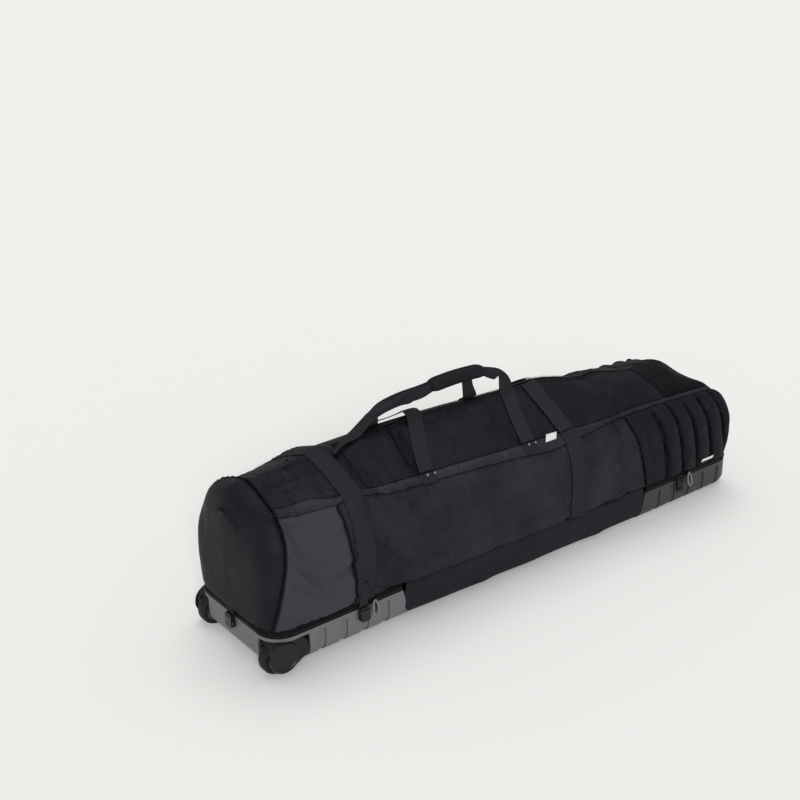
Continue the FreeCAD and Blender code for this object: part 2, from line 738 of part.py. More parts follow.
def yoke_edge(s):
    # The lower edge of the doubled band that carries the handles.
    return through([(arch_seam, 2.88), (150, 2.87), (235, 2.85), (300, 2.7), (460, 2.67),
                    (625, 2.57), (723, 2.46), (810, 2.62), (900, 2.8), (pad_end, 2.8)], s)


def cap_solid(stations, wall, seam_x, reach):
    # A closed lump under the cover's outer face. With a wall it is smaller all round by
    # that much, and open below.
    sections = []
    for s in stations:
        outer = [cover_point(s, u) for u in spread(0, far_rim, 17)]
        foot, ridge, half = outer[0].z, ridge_height(s), max(point.y for point in outer)
        flatten = (ridge - foot - wall) / (ridge - foot)
        curve = [Vector(seam_x + (point.x - seam_x) * (reach - wall) / reach,
                        point.y * (half - wall) / half, foot + (point.z - foot) * flatten)
                 for point in outer]
        drop = Vector(0, 0, wall)
        feet = [curve[-1] - drop, curve[0] - drop]
        sections.append(curve + feet if wall else curve)
    return faceted(sections)


def make_end_cap(label, stations):
    # The cover closes each end with a rounded hood: an outer lump less an inner one.
    seam_s, end_s = stations[0], stations[-1]
    seam_x, reach = wheel_end + seam_s, abs(end_s - seam_s)
    overrun = seam_s + (1 if end_s < seam_s else -1)
    outer = cap_solid(stations, 0, seam_x, reach)
    inner = cap_solid([overrun] + stations, fabric_wall, seam_x, reach)
    new_feature(label, outer.cut(inner))


make_end_cap("end_panel", [arch_seam - seam_gap, 28, 13, 4, 0])
make_end_cap("head_cap", [pad_end + seam_gap, 1238, 1260, 1277, 1290, 1297, case_length])


def make_panels():
    def lean_side(s):
        return side_seam_lean if abs(s - side_seam) < 3 else 0

    def lean_pad(s):
        return pad_seam_lean if abs(s - pad_seam) < 3 else 0

    side_stations = [90, 140]
    main_stations = [235, 300, 386, 460, 550, 640, 723, 810, 880]
    side = panel([arch_seam + seam_gap, *side_stations, side_seam - seam_gap], 0,
                 lambda s: yoke_edge(s) - edge_gap, lean=lean_side, rows=8)
    main = panel([side_seam + seam_gap, *main_stations, pad_seam - seam_gap], 0,
                 lambda s: yoke_edge(s) - edge_gap,
                 lean=lambda s: lean_side(s) + lean_pad(s), rows=8)
    yoke = panel([arch_seam + seam_gap, *side_stations, side_seam, *main_stations, pad_seam,
                  head_turn, 1160, pad_end - seam_gap], yoke_edge, near_hinge - 0.02, rows=4)
    for sign in (NEAR, FAR):
        new_feature(f"side_panel_{SIDE_NAMES[sign]}", both_sides(side)[sign])
        new_feature(f"body_side_{SIDE_NAMES[sign]}", both_sides(main)[sign])
        new_feature(f"yoke_{SIDE_NAMES[sign]}", both_sides(yoke)[sign])
    make_pads(lean_pad)
    new_feature("top_wheel_end", panel(
        [arch_seam + seam_gap, 110, 180, flap_start - seam_gap], near_hinge + 0.01, far_hinge - 0.01))
    new_feature("top_head", panel(
        [flap_end + seam_gap, head_turn, 1140, 1175, pad_end - seam_gap], near_hinge + 0.01,
        far_hinge - 0.01))
    flap = panel([flap_start + seam_gap, 386, 513, 640, 760, 880, 1000, flap_end - seam_gap],
                 near_hinge + 0.02, ridge_line - zip_half)
    zip_edge = panel([flap_start + 1, 386, 513, 640, 760, 880, 1000, flap_end - 1],
                     ridge_line - zip_half + 0.008, ridge_line - 0.01, outer=-0.8, inner=2, rows=3)
    for sign in (NEAR, FAR):
        new_feature(f"flap_{SIDE_NAMES[sign]}", both_sides(flap)[sign])
        new_feature(f"zip_edge_{SIDE_NAMES[sign]}", both_sides(zip_edge)[sign])


def make_pads(lean_pad):
    # A quilted pad protects the club heads. It swells between its sewn channels.
    channels = 7
    seams = spread(pad_seam + seam_gap, pad_end - seam_gap, channels + 1)
    stations = []
    for index in range(channels):
        width = seams[index + 1] - seams[index]
        stations += [seams[index] + width * share for share in (0, 0.25, 0.75)]
    stations.append(seams[-1])

    def swell(s):
        share = min(abs(s - seam) for seam in seams) * 2 / (seams[1] - seams[0])
        return -0.5 - 4.5 * math.sqrt(1 - (1 - share) ** 2)

    def lean(s):
        share = (pad_end - s) / (pad_end - pad_seam)
        return pad_seam_lean * min(max(share, 0), 1)

    pad_shape = panel(stations, 0.03, lambda s: yoke_edge(s) - 0.06, outer=swell, inner=8, lean=lean,
                      rows=6)
    for sign in (NEAR, FAR):
        new_feature(f"head_pad_{SIDE_NAMES[sign]}", both_sides(pad_shape)[sign])


make_panels()


def band_outline(outer, inner):
    # The closed outline of a band bent twice: line, arc, line, arc, line on each side.
    # outer and inner are eight points each, with the middle of each arc third and sixth.
    edges = []
    for way in (outer, inner[::-1]):
        edges += [Part.LineSegment(way[0], way[1]).toShape(), Part.Arc(*way[1:4]).toShape(),
                  Part.LineSegment(way[3], way[4]).toShape(), Part.Arc(*way[4:7]).toShape(),
                  Part.LineSegment(way[6], way[7]).toShape()]
    edges.insert(5, Part.LineSegment(outer[-1], inner[-1]).toShape())
    edges.append(Part.LineSegment(inner[0], outer[0]).toShape())
    return Part.Wire(edges)


def channel_points(half, open_end, floor, bend):
    # One side of such a band, as (across, along) pairs: down one wall, over the floor
    # and up the other, each turn having the radius bend.
    diagonal = bend * (1 - math.sqrt(0.5))
    first = [(-half, open_end), (-half, floor + bend), (-half + diagonal, floor + diagonal),
             (-half + bend, floor)]
    return first + [(-across, along) for across, along in reversed(first)]


def make_bottom_panel():
    # The soft floor between the trays: a channel with round lower edges whose two ends
    # lean back along the open ends of the trays.
    s_low, s_high = wheel_tray_mouth - 6, head_tray_mouth + 6
    floor_low, floor_high = dim("wheel_tray_lift") + 0.5, 1.5

    def outline(s):
        floor = floor_low + (floor_high - floor_low) * (s - s_low) / (s_high - s_low)
        sides = [[Vector(wheel_end + s, y, z) for y, z in channel_points(
            half_width - 0.5 - inset, foot_height(s) - 0.4, floor + inset, dim("tray_edge") - inset)]
            for inset in (0, fabric_wall)]
        return band_outline(*sides)

    trough = Part.makeLoft([outline(s_low), outline(s_high)], True, True)
    lean = dim("tray_lean") / dim("tray_depth")
    wheel_mouth = wheel_end + dim("tray_length") + 0.5
    head_mouth = head_end - dim("tray_length") - 0.5
    low, high = -5, 100
    bay = [(wheel_mouth - lean * (low - dim("wheel_tray_lift")), low),
           (wheel_mouth - lean * (high - dim("wheel_tray_lift")), high),
           (head_mouth + lean * high, high), (head_mouth + lean * low, low)]
    prism = Part.Face(Part.makePolygon([Vector(x, -half_width * 2, z) for x, z in bay + bay[:1]]))
    new_feature("bottom_panel", trough.common(prism.extrude(Vector(0, half_width * 4, 0))))


def make_rim_zips():
    # A zip runs round three sides of each tray, from mouth to mouth, on top of the rim.
    rings = []
    for end_x, inward, rim in ((wheel_end, 1, wheel_rim), (head_end, -1, head_rim)):
        sides = [[Vector(end_x + inward * along, across, rim + 0.3) for across, along in
                  channel_points(half_width - inset, wheel_tray_mouth - 8, inset,
                                 dim("tray_corner") - inset)]
                 for inset in (0.5, 3.5)]
        rings.append(Part.Face(band_outline(*sides)).extrude(Vector(0, 0, zip_height - 0.6)))
    new_feature("rim_zips", Part.makeCompound(rings))


def make_inner_straps():
    # Two cinch straps sewn inside the soft floor hold the golf bag down.
    straps = []
    for s in (480, 820):
        share = (s - wheel_tray_mouth) / (head_tray_mouth - wheel_tray_mouth)
        floor = dim("wheel_tray_lift") * (1 - share) + fabric_wall + 3
        width = dim("strap_width")
        sides = [[Vector(wheel_end + s - width / 2, y, z) for y, z in channel_points(
            half_width - fabric_wall - 2 - inset, foot_height(s) - 4, floor + inset,
            dim("tray_edge") - inset)] for inset in (0, webbing_wall)]
        straps.append(Part.Face(band_outline(*sides)).extrude(Vector(width, 0, 0)))
    new_feature("inner_straps", Part.makeCompound(straps))


make_bottom_panel()
make_rim_zips()
make_inner_straps()


# ---------------------------------------------------------------- webbing

webbing_out, webbing_in = -(strap_gap + webbing_wall), -strap_gap
hoop_s, hoop_slant, side_strap_s, handle_tabs_s = 210, 14, 760, (390, 657)
buckle_drop = 5.4


def make_hoop_strap():
    # A strap up both sides near the wheel end; on top it crosses over at a slant.
    side = strip_round(lambda u: hoop_s, dim("hoop_width"), laid_steps(hoop_s, 0, near_hinge))
    top = strip_round(lambda u: hoop_s - hoop_slant * (u - near_hinge), dim("hoop_width"),
                      [*laid_steps(hoop_s, near_hinge + 0.06, far_hinge), far_hinge + 0.35])
    sides = both_sides(side)
    new_feature("hoop_strap", Part.makeCompound([sides[NEAR], sides[FAR], top]))


def make_side_straps():
    side = strip_round(lambda u: side_strap_s, dim("strap_width"),
                       laid_steps(side_strap_s, 0, yoke_edge(side_strap_s)))
    new_feature("side_straps", Part.makeCompound(list(both_sides(side).values())))


def make_handle_tabs():
    # Webbing sewn to the yokes, with two rivets near the top of each.
    tabs, rivets = [], []
    for middle in handle_tabs_s:
        tab = strip_round(lambda u: middle, dim("strap_width"),
                          laid_steps(middle, yoke_edge(middle) + 0.01, 2.87))
        tabs += both_sides(tab).values()
        for rivet_s in (middle - 9, middle + 9):
            seat = cover_point(rivet_s, 2.79, webbing_out - 0.3)
            outward = (seat - cover_point(rivet_s, 2.79)).normalize()
            rivets += both_sides(prism(10, 2.7, 1.4, seat, outward)).values()
    new_feature("handle_tabs", Part.makeCompound(tabs))
    new_feature("rivets", Part.makeCompound(rivets))


def make_handles():
    grip_start = 568 - dim("grip_length") / 2
    grip_end = 568 + dim("grip_length") / 2
    grip_middle = dim("grip_rise") + dim("grip_height") / 2
    tuck = dim("grip_height") / 2 - 2

    def on_flap(s, u):
        return lying(s, u, dim("strap_width"), (webbing_out + webbing_in) / 2)

    wheel_leg = [on_flap(390, 3.06), on_flap(391, 3.33), on_flap(393, 3.64), on_flap(396, 3.95),
                 (Vector(wheel_end + 416, -40, 379), Vector(15, -10, -2), Vector(0, -0.4, 1)),
                 (Vector(wheel_end + 452, -20, 403), Vector(7, -9, -8), Vector(0, -0.7, 0.7)),
                 (Vector(wheel_end + grip_start - 0.3, -4, grip_middle), Vector(0, 0, -tuck),
                  Vector(0, -1, 0))]
    head_leg = [on_flap(657, 3.06), on_flap(660, 3.33), on_flap(664, 3.64), on_flap(669, 3.95),
                (Vector(wheel_end + 677, -26, 378), Vector(17, -3, 3), Vector(0, -0.6, 0.8)),
                (Vector(wheel_end + 670, -7, 401), Vector(12, 0, 10), Vector(0, -1, 0)),
                (Vector(wheel_end + grip_end + 0.3, -4, grip_middle), Vector(0, 0, tuck),
                 Vector(0, -1, 0))]
    legs = Part.makeCompound([ribbon(wheel_leg), ribbon(head_leg)])
    for sign in (NEAR, FAR):
        new_feature(f"handle_{SIDE_NAMES[sign]}", both_sides(legs)[sign])
        make_grip(sign, str(grip_start))


def make_grip(sign, start):
    # Half of a round carrying grip: flat where it meets the other half.
    body = new_body(f"grip_{SIDE_NAMES[sign]}")
    flat = f"{sign} * 0.3"
    round_start = f"{sign} * (dims.grip_half_depth - dims.grip_height / 2)"
    plane = f"dims.wheel_end + {start}"
    outline = closed_sketch(body, "half_round", "YZ_Plane", [
        (flat, "dims.grip_rise"), (round_start, "dims.grip_rise"),
        (round_start, "dims.grip_rise + dims.grip_height", "dims.grip_height / 2 + 0.001", sign),
        (flat, "dims.grip_rise + dims.grip_height")], plane)
    pad(body, "sleeve", outline, "dims.grip_length")


make_hoop_strap()
make_side_straps()
make_handle_tabs()
make_handles()


# ---------------------------------------------------------------- buckles and sliders

buckle_s, buckle_height, male_s = 205, 86, 1108
rim_sliders = {"wheel": (230, 85), "head": (1136, 72)}
main_slider_s, main_slider_lift = 140, 1.1


def make_buckle_tabs():
    # The female buckles hang from webbing sewn on the hoop strap and on the end hood.
    width = dim("tab_width")
    depth = 2 * webbing_out + webbing_wall / 2
    stations = [lying(buckle_s, u, width, depth) for u in laid_steps(buckle_s, 0, 0.55)]
    foot, half, thick = stations[0]
    stations.insert(0, (foot - Vector(0, 0, buckle_drop), half, Vector(thick)))
    side = ribbon(stations)
    end = Part.makeBox(webbing_wall, width, 62, Vector(wheel_end - 2, -width / 2, 86))
    new_feature("buckle_tabs", Part.makeCompound([*both_sides(side).values(), end]))


def make_closing_straps():
    # Short straps at the head tray carry the male halves.
    width = dim("tab_width")
    side = Part.makeBox(width, webbing_wall, 7.5,
                        Vector(wheel_end + 1098, -half_width - 3, 70))
    end = Part.makeBox(webbing_wall, width, 26, Vector(head_end + 0.6, -width / 2, 102))
    new_feature("closing_straps", Part.makeCompound([*both_sides(side).values(), end]))


def make_female_buckle(name, x_size, y_size, turn):
    body = new_body(f"female_buckle_{name}")
    half = "dims.buckle_width / 2"
    shell = closed_sketch(body, "shell", "XZ_Plane", [
        (f"-{half}", "-5"), (f"-{half} + 3", "-2"), (f"{half} - 3", "-2"), (half, "-5"),
        (half, "-dims.buckle_length + 3"), (f"{half} - 3", "-dims.buckle_length"),
        (f"-{half} + 3", "-dims.buckle_length"), (f"-{half}", "-dims.buckle_length + 3")])
    pad(body, "shell_pad", shell, "dims.buckle_depth")
    mouth = closed_sketch(body, "mouth", "XY_Plane", box_corners("-9.2", "9.2", "-7.3", "-2.3"),
                          "-dims.buckle_length")
    pocket(body, "socket", mouth, "21", reverse=True)
    windows = closed_sketch(body, "windows", "YZ_Plane", box_corners("-7.3", "-2.3", "-25", "-16"))
    pocket(body, "side_windows", windows, "dims.buckle_width * 2", both_ways=True)
    slot = closed_sketch(body, "bar_slot", "XZ_Plane", box_corners("-8.5", "8.5", "-8.5", "-5.2"))
    pocket(body, "webbing_slot", slot, "dims.buckle_depth * 3", both_ways=True)
    place(body, x_size, y_size, str(buckle_height), turn)


def make_male_buckle(name, x_size, y_size, z_size, turn):
    body = new_body(f"male_buckle_{name}")
    half = "dims.buckle_width / 2"
    right = [(half, "-2"), (half, "-16"), ("8.8", "-16"), ("8.8", "-26"), ("10.4", "-27"),
             ("10.4", "-31"), ("7.5", "-34"), ("6", "-34"), ("6", "-18"), ("2", "-18"),
             ("2", "-30")]
    left = [(f"-({x})", z) for x, z in reversed(right)]
    fork = closed_sketch(body, "fork", "XZ_Plane", right + left, "2.6")
    pad(body, "fork_pad", fork, "4.4")
    for index, top in enumerate(("-4.2", "-10.2")):
        slot = closed_sketch(body, f"ladder_{index}", "XZ_Plane", box_corners(
            "-8.2", "8.2", f"{top} - 3.2", top))
        pocket(body, f"ladder_slot_{index}", slot, "dims.buckle_depth * 3", both_ways=True)
    place(body, x_size, y_size, z_size, turn)


def make_slider(label):
    # A slider rides on the zip of a tray; two ears hold the bar of its pull.
    body = new_body(label)
    shell = closed_sketch(body, "shell", "XZ_Plane", [
        ("-7", "-3"), ("-5", "-4.2"), ("7", "-4.2"), ("7", "4.2"), ("-5", "4.2"), ("-7", "3")])
    pad(body, "shell_pad", shell, "3.6")
    ears = closed_sketch(body, "ears", "YZ_Plane", [
        ("-3", "-1.8"), ("-3", "1.8"), ("-7.4", "1.8"), ("-7.4", "-1.8")])
    pad(body, "ear_block", ears, "11", both_ways=True)
    gap = closed_sketch(body, "gap", "YZ_Plane", box_corners("-9", "-3.6", "-3", "3"))
    pocket(body, "ear_gap", gap, "7.4", both_ways=True)
    bore = circle_sketch(body, "bar_hole", "YZ_Plane", "-5.6", "0", "0.96")
    pocket(body, "bar_bore", bore, "20", both_ways=True)
    return body


def make_pull(label):
    # A puller: a bar that turns in the ears and a long plate with a window.
    body = new_body(label)
    plate = closed_sketch(body, "plate", "XZ_Plane", [
        ("-3.3", "0.6"), ("-3.3", "-3"), ("-4.5", "-5"), ("-4.5", "-22"), ("-2.5", "-24"),
        ("2.5", "-24"), ("4.5", "-22"), ("4.5", "-5"), ("3.3", "-3"), ("3.3", "0.6")], "4.8")
    pad(body, "plate_pad", plate, "1.6")
    window = closed_sketch(body, "window", "XZ_Plane", box_corners("-2.4", "2.4", "-21", "-7"))
    pocket(body, "plate_window", window, "30", both_ways=True)
    bar = circle_sketch(body, "bar", "YZ_Plane", "-5.6", "0", "0.9")
    pad(body, "bar_pad", bar, "10.6", both_ways=True)
    return body


def lay_on_ridge(body, s, lift):
    # Turns a slider or a pull so that it lies on the ridge and points to the wheel end.
    flat = FreeCAD.Rotation(Vector(1, 0, 0), -90)
    body.Placement = FreeCAD.Placement(Vector(), FreeCAD.Rotation(Vector(0, 0, 1), -90) * flat)
    place_at = {"x": f"dims.wheel_end + {s}", "y": "0", "z": f"{ridge_height(s) + lift}"}
    for axis, size in place_at.items():
        body.setExpression(f"Placement.Base.{axis}", size)


make_buckle_tabs()
make_closing_straps()
buckle_x = f"dims.wheel_end + {buckle_s}"
buckle_y = "dims.case_width / 2 + 1.5"
make_female_buckle("near", buckle_x, f"-({buckle_y})", 0)
make_female_buckle("far", buckle_x, buckle_y, 180)
make_female_buckle("end", "dims.wheel_end - 0.5", "0", -90)
male_x = f"dims.wheel_end + {male_s}"
make_male_buckle("near", male_x, f"-({buckle_y})", "70", 0)
make_male_buckle("far", male_x, buckle_y, "70", 180)
make_male_buckle("end", f"{wall_x} + 0.8", "0", "102", 90)
for tray, (s, height) in rim_sliders.items():
    for piece in (make_slider(f"rim_slider_{tray}"), make_pull(f"rim_pull_{tray}")):
        place(piece, f"dims.wheel_end + {s}", "-(dims.case_width / 2 - 0.2)", str(height))
for piece in (make_slider("main_slider"), make_pull("main_pull")):
    lay_on_ridge(piece, main_slider_s, main_slider_lift)


# ---------------------------------------------------------------- check and write

doc.recompute()
for item in doc.Objects:
    if {"Invalid", "Error"} & set(item.State):
        raise RuntimeError(f"{item.Name} doesn't compute: {item.State}")
os.makedirs("parts", exist_ok=True)
for item in subparts:
    if item.Shape.isNull() or not item.Shape.isValid():
        raise RuntimeError(f"{item.Label} has no valid shape")
    item.Shape.exportStep(f"parts/{item.Label}.step")
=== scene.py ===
import bmesh
import bpy
import math
import numpy as np
from mathutils import Matrix, Vector


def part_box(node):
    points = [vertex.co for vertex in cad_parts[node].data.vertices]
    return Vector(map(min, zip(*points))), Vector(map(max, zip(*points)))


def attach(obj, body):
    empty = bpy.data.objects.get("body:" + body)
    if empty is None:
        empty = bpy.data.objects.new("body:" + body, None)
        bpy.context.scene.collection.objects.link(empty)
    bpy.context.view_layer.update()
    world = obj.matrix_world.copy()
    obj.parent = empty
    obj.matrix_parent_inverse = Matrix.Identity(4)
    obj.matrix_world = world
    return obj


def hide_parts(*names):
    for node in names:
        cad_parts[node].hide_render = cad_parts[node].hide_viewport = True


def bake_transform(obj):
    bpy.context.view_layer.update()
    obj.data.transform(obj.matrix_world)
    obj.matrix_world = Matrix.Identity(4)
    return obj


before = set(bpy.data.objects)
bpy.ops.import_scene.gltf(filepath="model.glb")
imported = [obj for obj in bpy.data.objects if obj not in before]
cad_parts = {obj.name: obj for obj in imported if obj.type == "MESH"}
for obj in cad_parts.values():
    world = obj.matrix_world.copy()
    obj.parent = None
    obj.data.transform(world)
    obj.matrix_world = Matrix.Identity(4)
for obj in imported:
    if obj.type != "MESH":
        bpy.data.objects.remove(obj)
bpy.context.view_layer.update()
print("frame loaded")

wheelTrayLow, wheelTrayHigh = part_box("wheel_tray")
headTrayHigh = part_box("head_tray")[1]
wheelEnd = wheelTrayLow.x
caseLength = headTrayHigh.x - wheelEnd
halfWidth = wheelTrayHigh.y
wheelRim = wheelTrayHigh.z
headRim = headTrayHigh.z


# camera, floor and lamps

cameraView = {"place": (-1.677, -1.875, 1.397), "yaw": 37.35, "pitch": 22.75, "roll": -1.18,
              "lens": 58.1, "sensor": 36, "reach": 60}


def placeObject(name, data):
    piece = bpy.data.objects.new(name, data)
    bpy.context.scene.collection.objects.link(piece)
    return piece


def makeCamera(view):
    yaw, pitch, roll = (math.radians(view[key]) for key in ("yaw", "pitch", "roll"))
    ahead = Vector((math.cos(pitch) * math.sin(yaw), math.cos(pitch) * math.cos(yaw), -math.sin(pitch)))
    side = Vector((math.cos(yaw), -math.sin(yaw), 0))
    above = side.cross(ahead)
    turnedSide = side * math.cos(roll) + above * math.sin(roll)
    turnedAbove = above * math.cos(roll) - side * math.sin(roll)
    camera = placeObject("studioCamera", bpy.data.cameras.new("studioCamera"))
    camera.data.lens = view["lens"]
    camera.data.sensor_width = view["sensor"]
    camera.data.clip_end = view["reach"]
    turn = Matrix((turnedSide, turnedAbove, -ahead)).transposed()
    camera.matrix_world = Matrix.Translation(view["place"]) @ turn.to_4x4()
    bpy.context.scene.camera = camera


makeCamera(cameraView)


def named(sockets, identifier):
    return next(socket for socket in sockets if socket.identifier == identifier)


def addNode(tree, kind, inputs=None, **settings):
    # a new node; each input gets a plain value, or the output that feeds it
    node = tree.nodes.new(kind)
    for setting, value in settings.items():
        setattr(node, setting, value)
    for key, value in (inputs or {}).items():
        known = isinstance(key, int) or key in node.inputs
        socket = node.inputs[key] if known else named(node.inputs, key)
        if isinstance(value, bpy.types.NodeSocket):
            tree.links.new(value, socket)
        else:
            socket.default_value = value
    return node


def newMaterial(name, colour, roughness, **sockets):
    material = bpy.data.materials.new(name)
    material.use_nodes = True
    shader = material.node_tree.nodes["Principled BSDF"]
    shader.inputs["Base Color"].default_value = (*colour, 1)
    shader.inputs["Roughness"].default_value = roughness
    for socket, value in sockets.items():
        shader.inputs[socket.replace("_", " ")].default_value = value
    return material


studioSettings = {
    "floor": 0.855, "floorBlue": 0.98, "floorReach": 30, "ambient": 0.41, "ambientColour": (1, 1, 0.99, 1),
    "suns": (("frontSun", (-1.5, -2.3, 1.5), 2.25, 0.40), ("topSun", (0.6, 0.8, 3.0), 0.84, 0.7)),
}


def makeStudio(settings):
    level, reach = settings["floor"], settings["floorReach"]
    pale = (level, level, level * settings["floorBlue"])
    mesh = bpy.data.meshes.new("studioFloor")
    mesh.from_pydata([(-reach, -reach, 0), (reach, -reach, 0), (reach, reach, 0), (-reach, reach, 0)], [],
                     [(0, 1, 2, 3)])
    floor = placeObject("studioFloor", mesh)
    mesh.materials.append(newMaterial("paleFloor", pale, 1.0, Specular_IOR_Level=0.0))

    world = bpy.data.worlds.new("studioWorld")
    bpy.context.scene.world = world
    world.use_nodes = True
    tree = world.node_tree
    backdrop = tree.nodes["Background"]
    backdrop.inputs["Color"].default_value = settings["ambientColour"]
    backdrop.inputs["Strength"].default_value = settings["ambient"]
    # beyond the floor's edge the camera sees the floor's own level
    seen = addNode(tree, "ShaderNodeBackground", {"Color": (*pale, 1), "Strength": 1.0})
    rays = addNode(tree, "ShaderNodeLightPath")
    choose = addNode(tree, "ShaderNodeMixShader",
                     {0: rays.outputs["Is Camera Ray"], 1: backdrop.outputs[0], 2: seen.outputs[0]})
    tree.links.new(choose.outputs[0], tree.nodes["World Output"].inputs["Surface"])
    for name, place, strength, angle in settings["suns"]:
        lamp = bpy.data.lights.new(name, "SUN")
        lamp.energy = strength
        lamp.angle = angle
        turn = (-Vector(place)).to_track_quat("-Z", "Y")
        placeObject(name, lamp).matrix_world = Matrix.Translation(place) @ turn.to_matrix().to_4x4()
    bpy.context.scene.view_settings.view_transform = "Standard"


makeStudio(studioSettings)
print("studio ready")


# the sewn cover as one surface: s runs along the case, u runs round it from rim to rim

coverShape = {
    "endRound": 0.046, "headRound": 0.190, "headFoot": 0.108, "sideCorner": 0.050,
    "bulge": 0.148, "chest": 0.145, "hinge": 0.112, "crown": 0.056,
    "endPuff": 0.004, "headPuff": 0.002,  # how far the flats of the two ends swell
    "hingeHigh": 0.314, "hingeLow": 0.268, "flapStart": 0.250, "flapEnd": 1.090,
    "zipHeight": 0.0124, "traySeam": 0.303,
    "ridge": ((0.046, 0.344), (0.240, 0.368), (0.386, 0.376), (0.640, 0.367), (0.880, 0.342),
              (1.110, 0.303)),
}
farRim = 10
headTurn = caseLength - coverShape["headRound"]
faceReach = (0.098, 0.092)  # how far s runs on over the flat of each end


def hermite(p0, m0, p1, m1, k, span=1):
    # a smooth step from p0 to p1 that leaves with slope m0 and arrives with slope m1
    return ((1 + 2 * k) * (1 - k) ** 2 * p0 + k * (1 - k) ** 2 * span * m0
            + k * k * (3 - 2 * k) * p1 + k * k * (k - 1) * span * m1)


def smoothThrough(stations, s):
    stops = np.array([station[0] for station in stations])
    values = np.array([station[1] for station in stations])
    last = len(stops) - 1
    before, after = np.maximum(np.arange(last + 1) - 1, 0), np.minimum(np.arange(last + 1) + 1, last)
    slopes = (values[after] - values[before]) / (stops[after] - stops[before])
    s = np.clip(s, stops[0], stops[-1])
    i = np.clip(np.searchsorted(stops, s, side="right") - 1, 0, last - 1)
    span = stops[i + 1] - stops[i]
    k = (s - stops[i]) / span
    return hermite(values[i], slopes[i], values[i + 1], slopes[i + 1], k, span)


def rounding(distance, radius):
    left = np.clip(radius - distance, 0, radius)
    return radius - np.sqrt(radius ** 2 - left ** 2)


def footHeight(s):
    share = np.clip((s - coverShape["traySeam"]) / (caseLength - 2 * coverShape["traySeam"]), 0, 1)
    return (wheelRim + (headRim - wheelRim) * share) + coverShape["zipHeight"]


def ridgeHeight(s):
    front = smoothThrough(coverShape["ridge"], s) - rounding(s, coverShape["endRound"])
    share = np.clip((s - headTurn) / coverShape["headRound"], 0, 1)
    foot = coverShape["headFoot"]
    nose = foot + (coverShape["ridge"][-1][1] - foot) * np.sqrt(1 - share ** 2)
    return np.where(s <= headTurn, front, nose)


def hingeHeight(s):
    start, end = coverShape["flapStart"], coverShape["flapEnd"]
    slope = (coverShape["hingeLow"] - coverShape["hingeHigh"]) / (end - start)
    line = coverShape["hingeHigh"] + slope * (s - start)
    before = coverShape["hingeHigh"] - 0.045 * (start - s) - rounding(s, coverShape["endRound"])
    return np.where(s < start, before, np.where(s <= end, line, np.minimum(line, ridgeHeight(s) - 0.007)))


def coverRing(s):
    # the eleven points of a section, from the near rim over the ridge to the far rim
    foot, hinge, ridge = footHeight(s), hingeHeight(s), ridgeHeight(s)
    edge = np.minimum(s, caseLength - s)
    narrow = (coverShape["bulge"] - rounding(edge, coverShape["sideCorner"])) / coverShape["bulge"]
    rise = hinge - foot
    half = [((halfWidth - 0.001) * narrow, foot), (coverShape["bulge"] * narrow, foot + 0.40 * rise),
            (coverShape["chest"] * narrow, foot + 0.76 * rise), (coverShape["hinge"] * narrow, hinge),
            (coverShape["crown"] * narrow, hinge + 0.68 * (ridge - hinge)), (0 * s, ridge)]
    near = [np.stack((-y, z), -1) for y, z in half]
    far = [np.stack((y, z), -1) for y, z in half[-2::-1]]
    return np.stack(near + far, 1)


def plainCover(s, u):
    # places on the smooth cover, for arrays of s and u; past the two ends s runs over their flats
    s, u = (np.asarray(value, float).ravel() for value in np.broadcast_arrays(s, u))
    inside = np.clip(s, 0, caseLength)
    ring = coverRing(inside)
    i = np.clip(u.astype(int), 0, farRim - 1)
    k = (u - i)[:, None]
    row = np.arange(len(s))
    p0, p1 = ring[row, np.maximum(i - 1, 0)], ring[row, i]
    p2, p3 = ring[row, i + 1], ring[row, np.minimum(i + 2, farRim)]
    m1 = (p2 - p0) / np.where(i == 0, 1, 2)[:, None]
    m2 = (p3 - p1) / np.where(i == farRim - 1, 1, 2)[:, None]
    yz = hermite(p1, m1, p2, m2, k)
    over = np.where(s < 0, -s / faceReach[0], np.where(s > caseLength, (s - caseLength) / faceReach[1], 0))
    reach = 1 - np.clip(over, 0, 1)
    puff = np.where(s < 0, -coverShape["endPuff"], coverShape["headPuff"]) * (1 - reach ** 2)
    return np.stack((wheelEnd + inside + puff, yz[:, 0] * reach, yz[:, 1]), -1)


clothSettings = {
    "columns": 190, "rows": 101, "frames": 26, "slack": 0.040, "cap": 0.011, "roughness": 0.0006,
    "fabric": {"quality": 6, "mass": 0.35, "tension_stiffness": 18, "compression_stiffness": 12,
               "shear_stiffness": 6, "bending_stiffness": 0.6, "pin_stiffness": 0.6,
               "uniform_pressure_force": 1.1},
}
gridS = np.linspace(-faceReach[0], caseLength + faceReach[1], clothSettings["columns"])
gridU = np.linspace(0, farRim, clothSettings["rows"])


def linkMesh(name, points, faces, smooth=True):
    mesh = bpy.data.meshes.new(name)
    mesh.from_pydata([tuple(point) for point in points], [], [tuple(face) for face in faces])
    mesh.polygons.foreach_set("use_smooth", [smooth] * len(mesh.polygons))
    return placeObject(name, mesh)


def gridFaces(columns, rows, index=None):
    index = np.arange(columns * rows).reshape(columns, rows) if index is None else index
    quads = np.stack((index[:-1, :-1], index[1:, :-1], index[1:, 1:], index[:-1, 1:]), -1).reshape(-1, 4)
    return [list(dict.fromkeys(quad)) for quad in quads.tolist()]


# each held line: its place, its width and how firmly it is held; "round" counts u from the ridge
heldLines = {
    "round": ((5, 0.05, 1.00), (2, 0.05, 0.50), (2.7, 0.05, 0.35), (0, 0.08, 0.40)),
    "along": ((0.046, 0.010, 0.75), (0.210, 0.018, 0.55)),
    "sideStrap": (0.760, 0.015, 0.35), "strapBelow": 2.6,
    "headFrom": (0.91, 0.08), "endFrom": (0.040, 0.02),
}


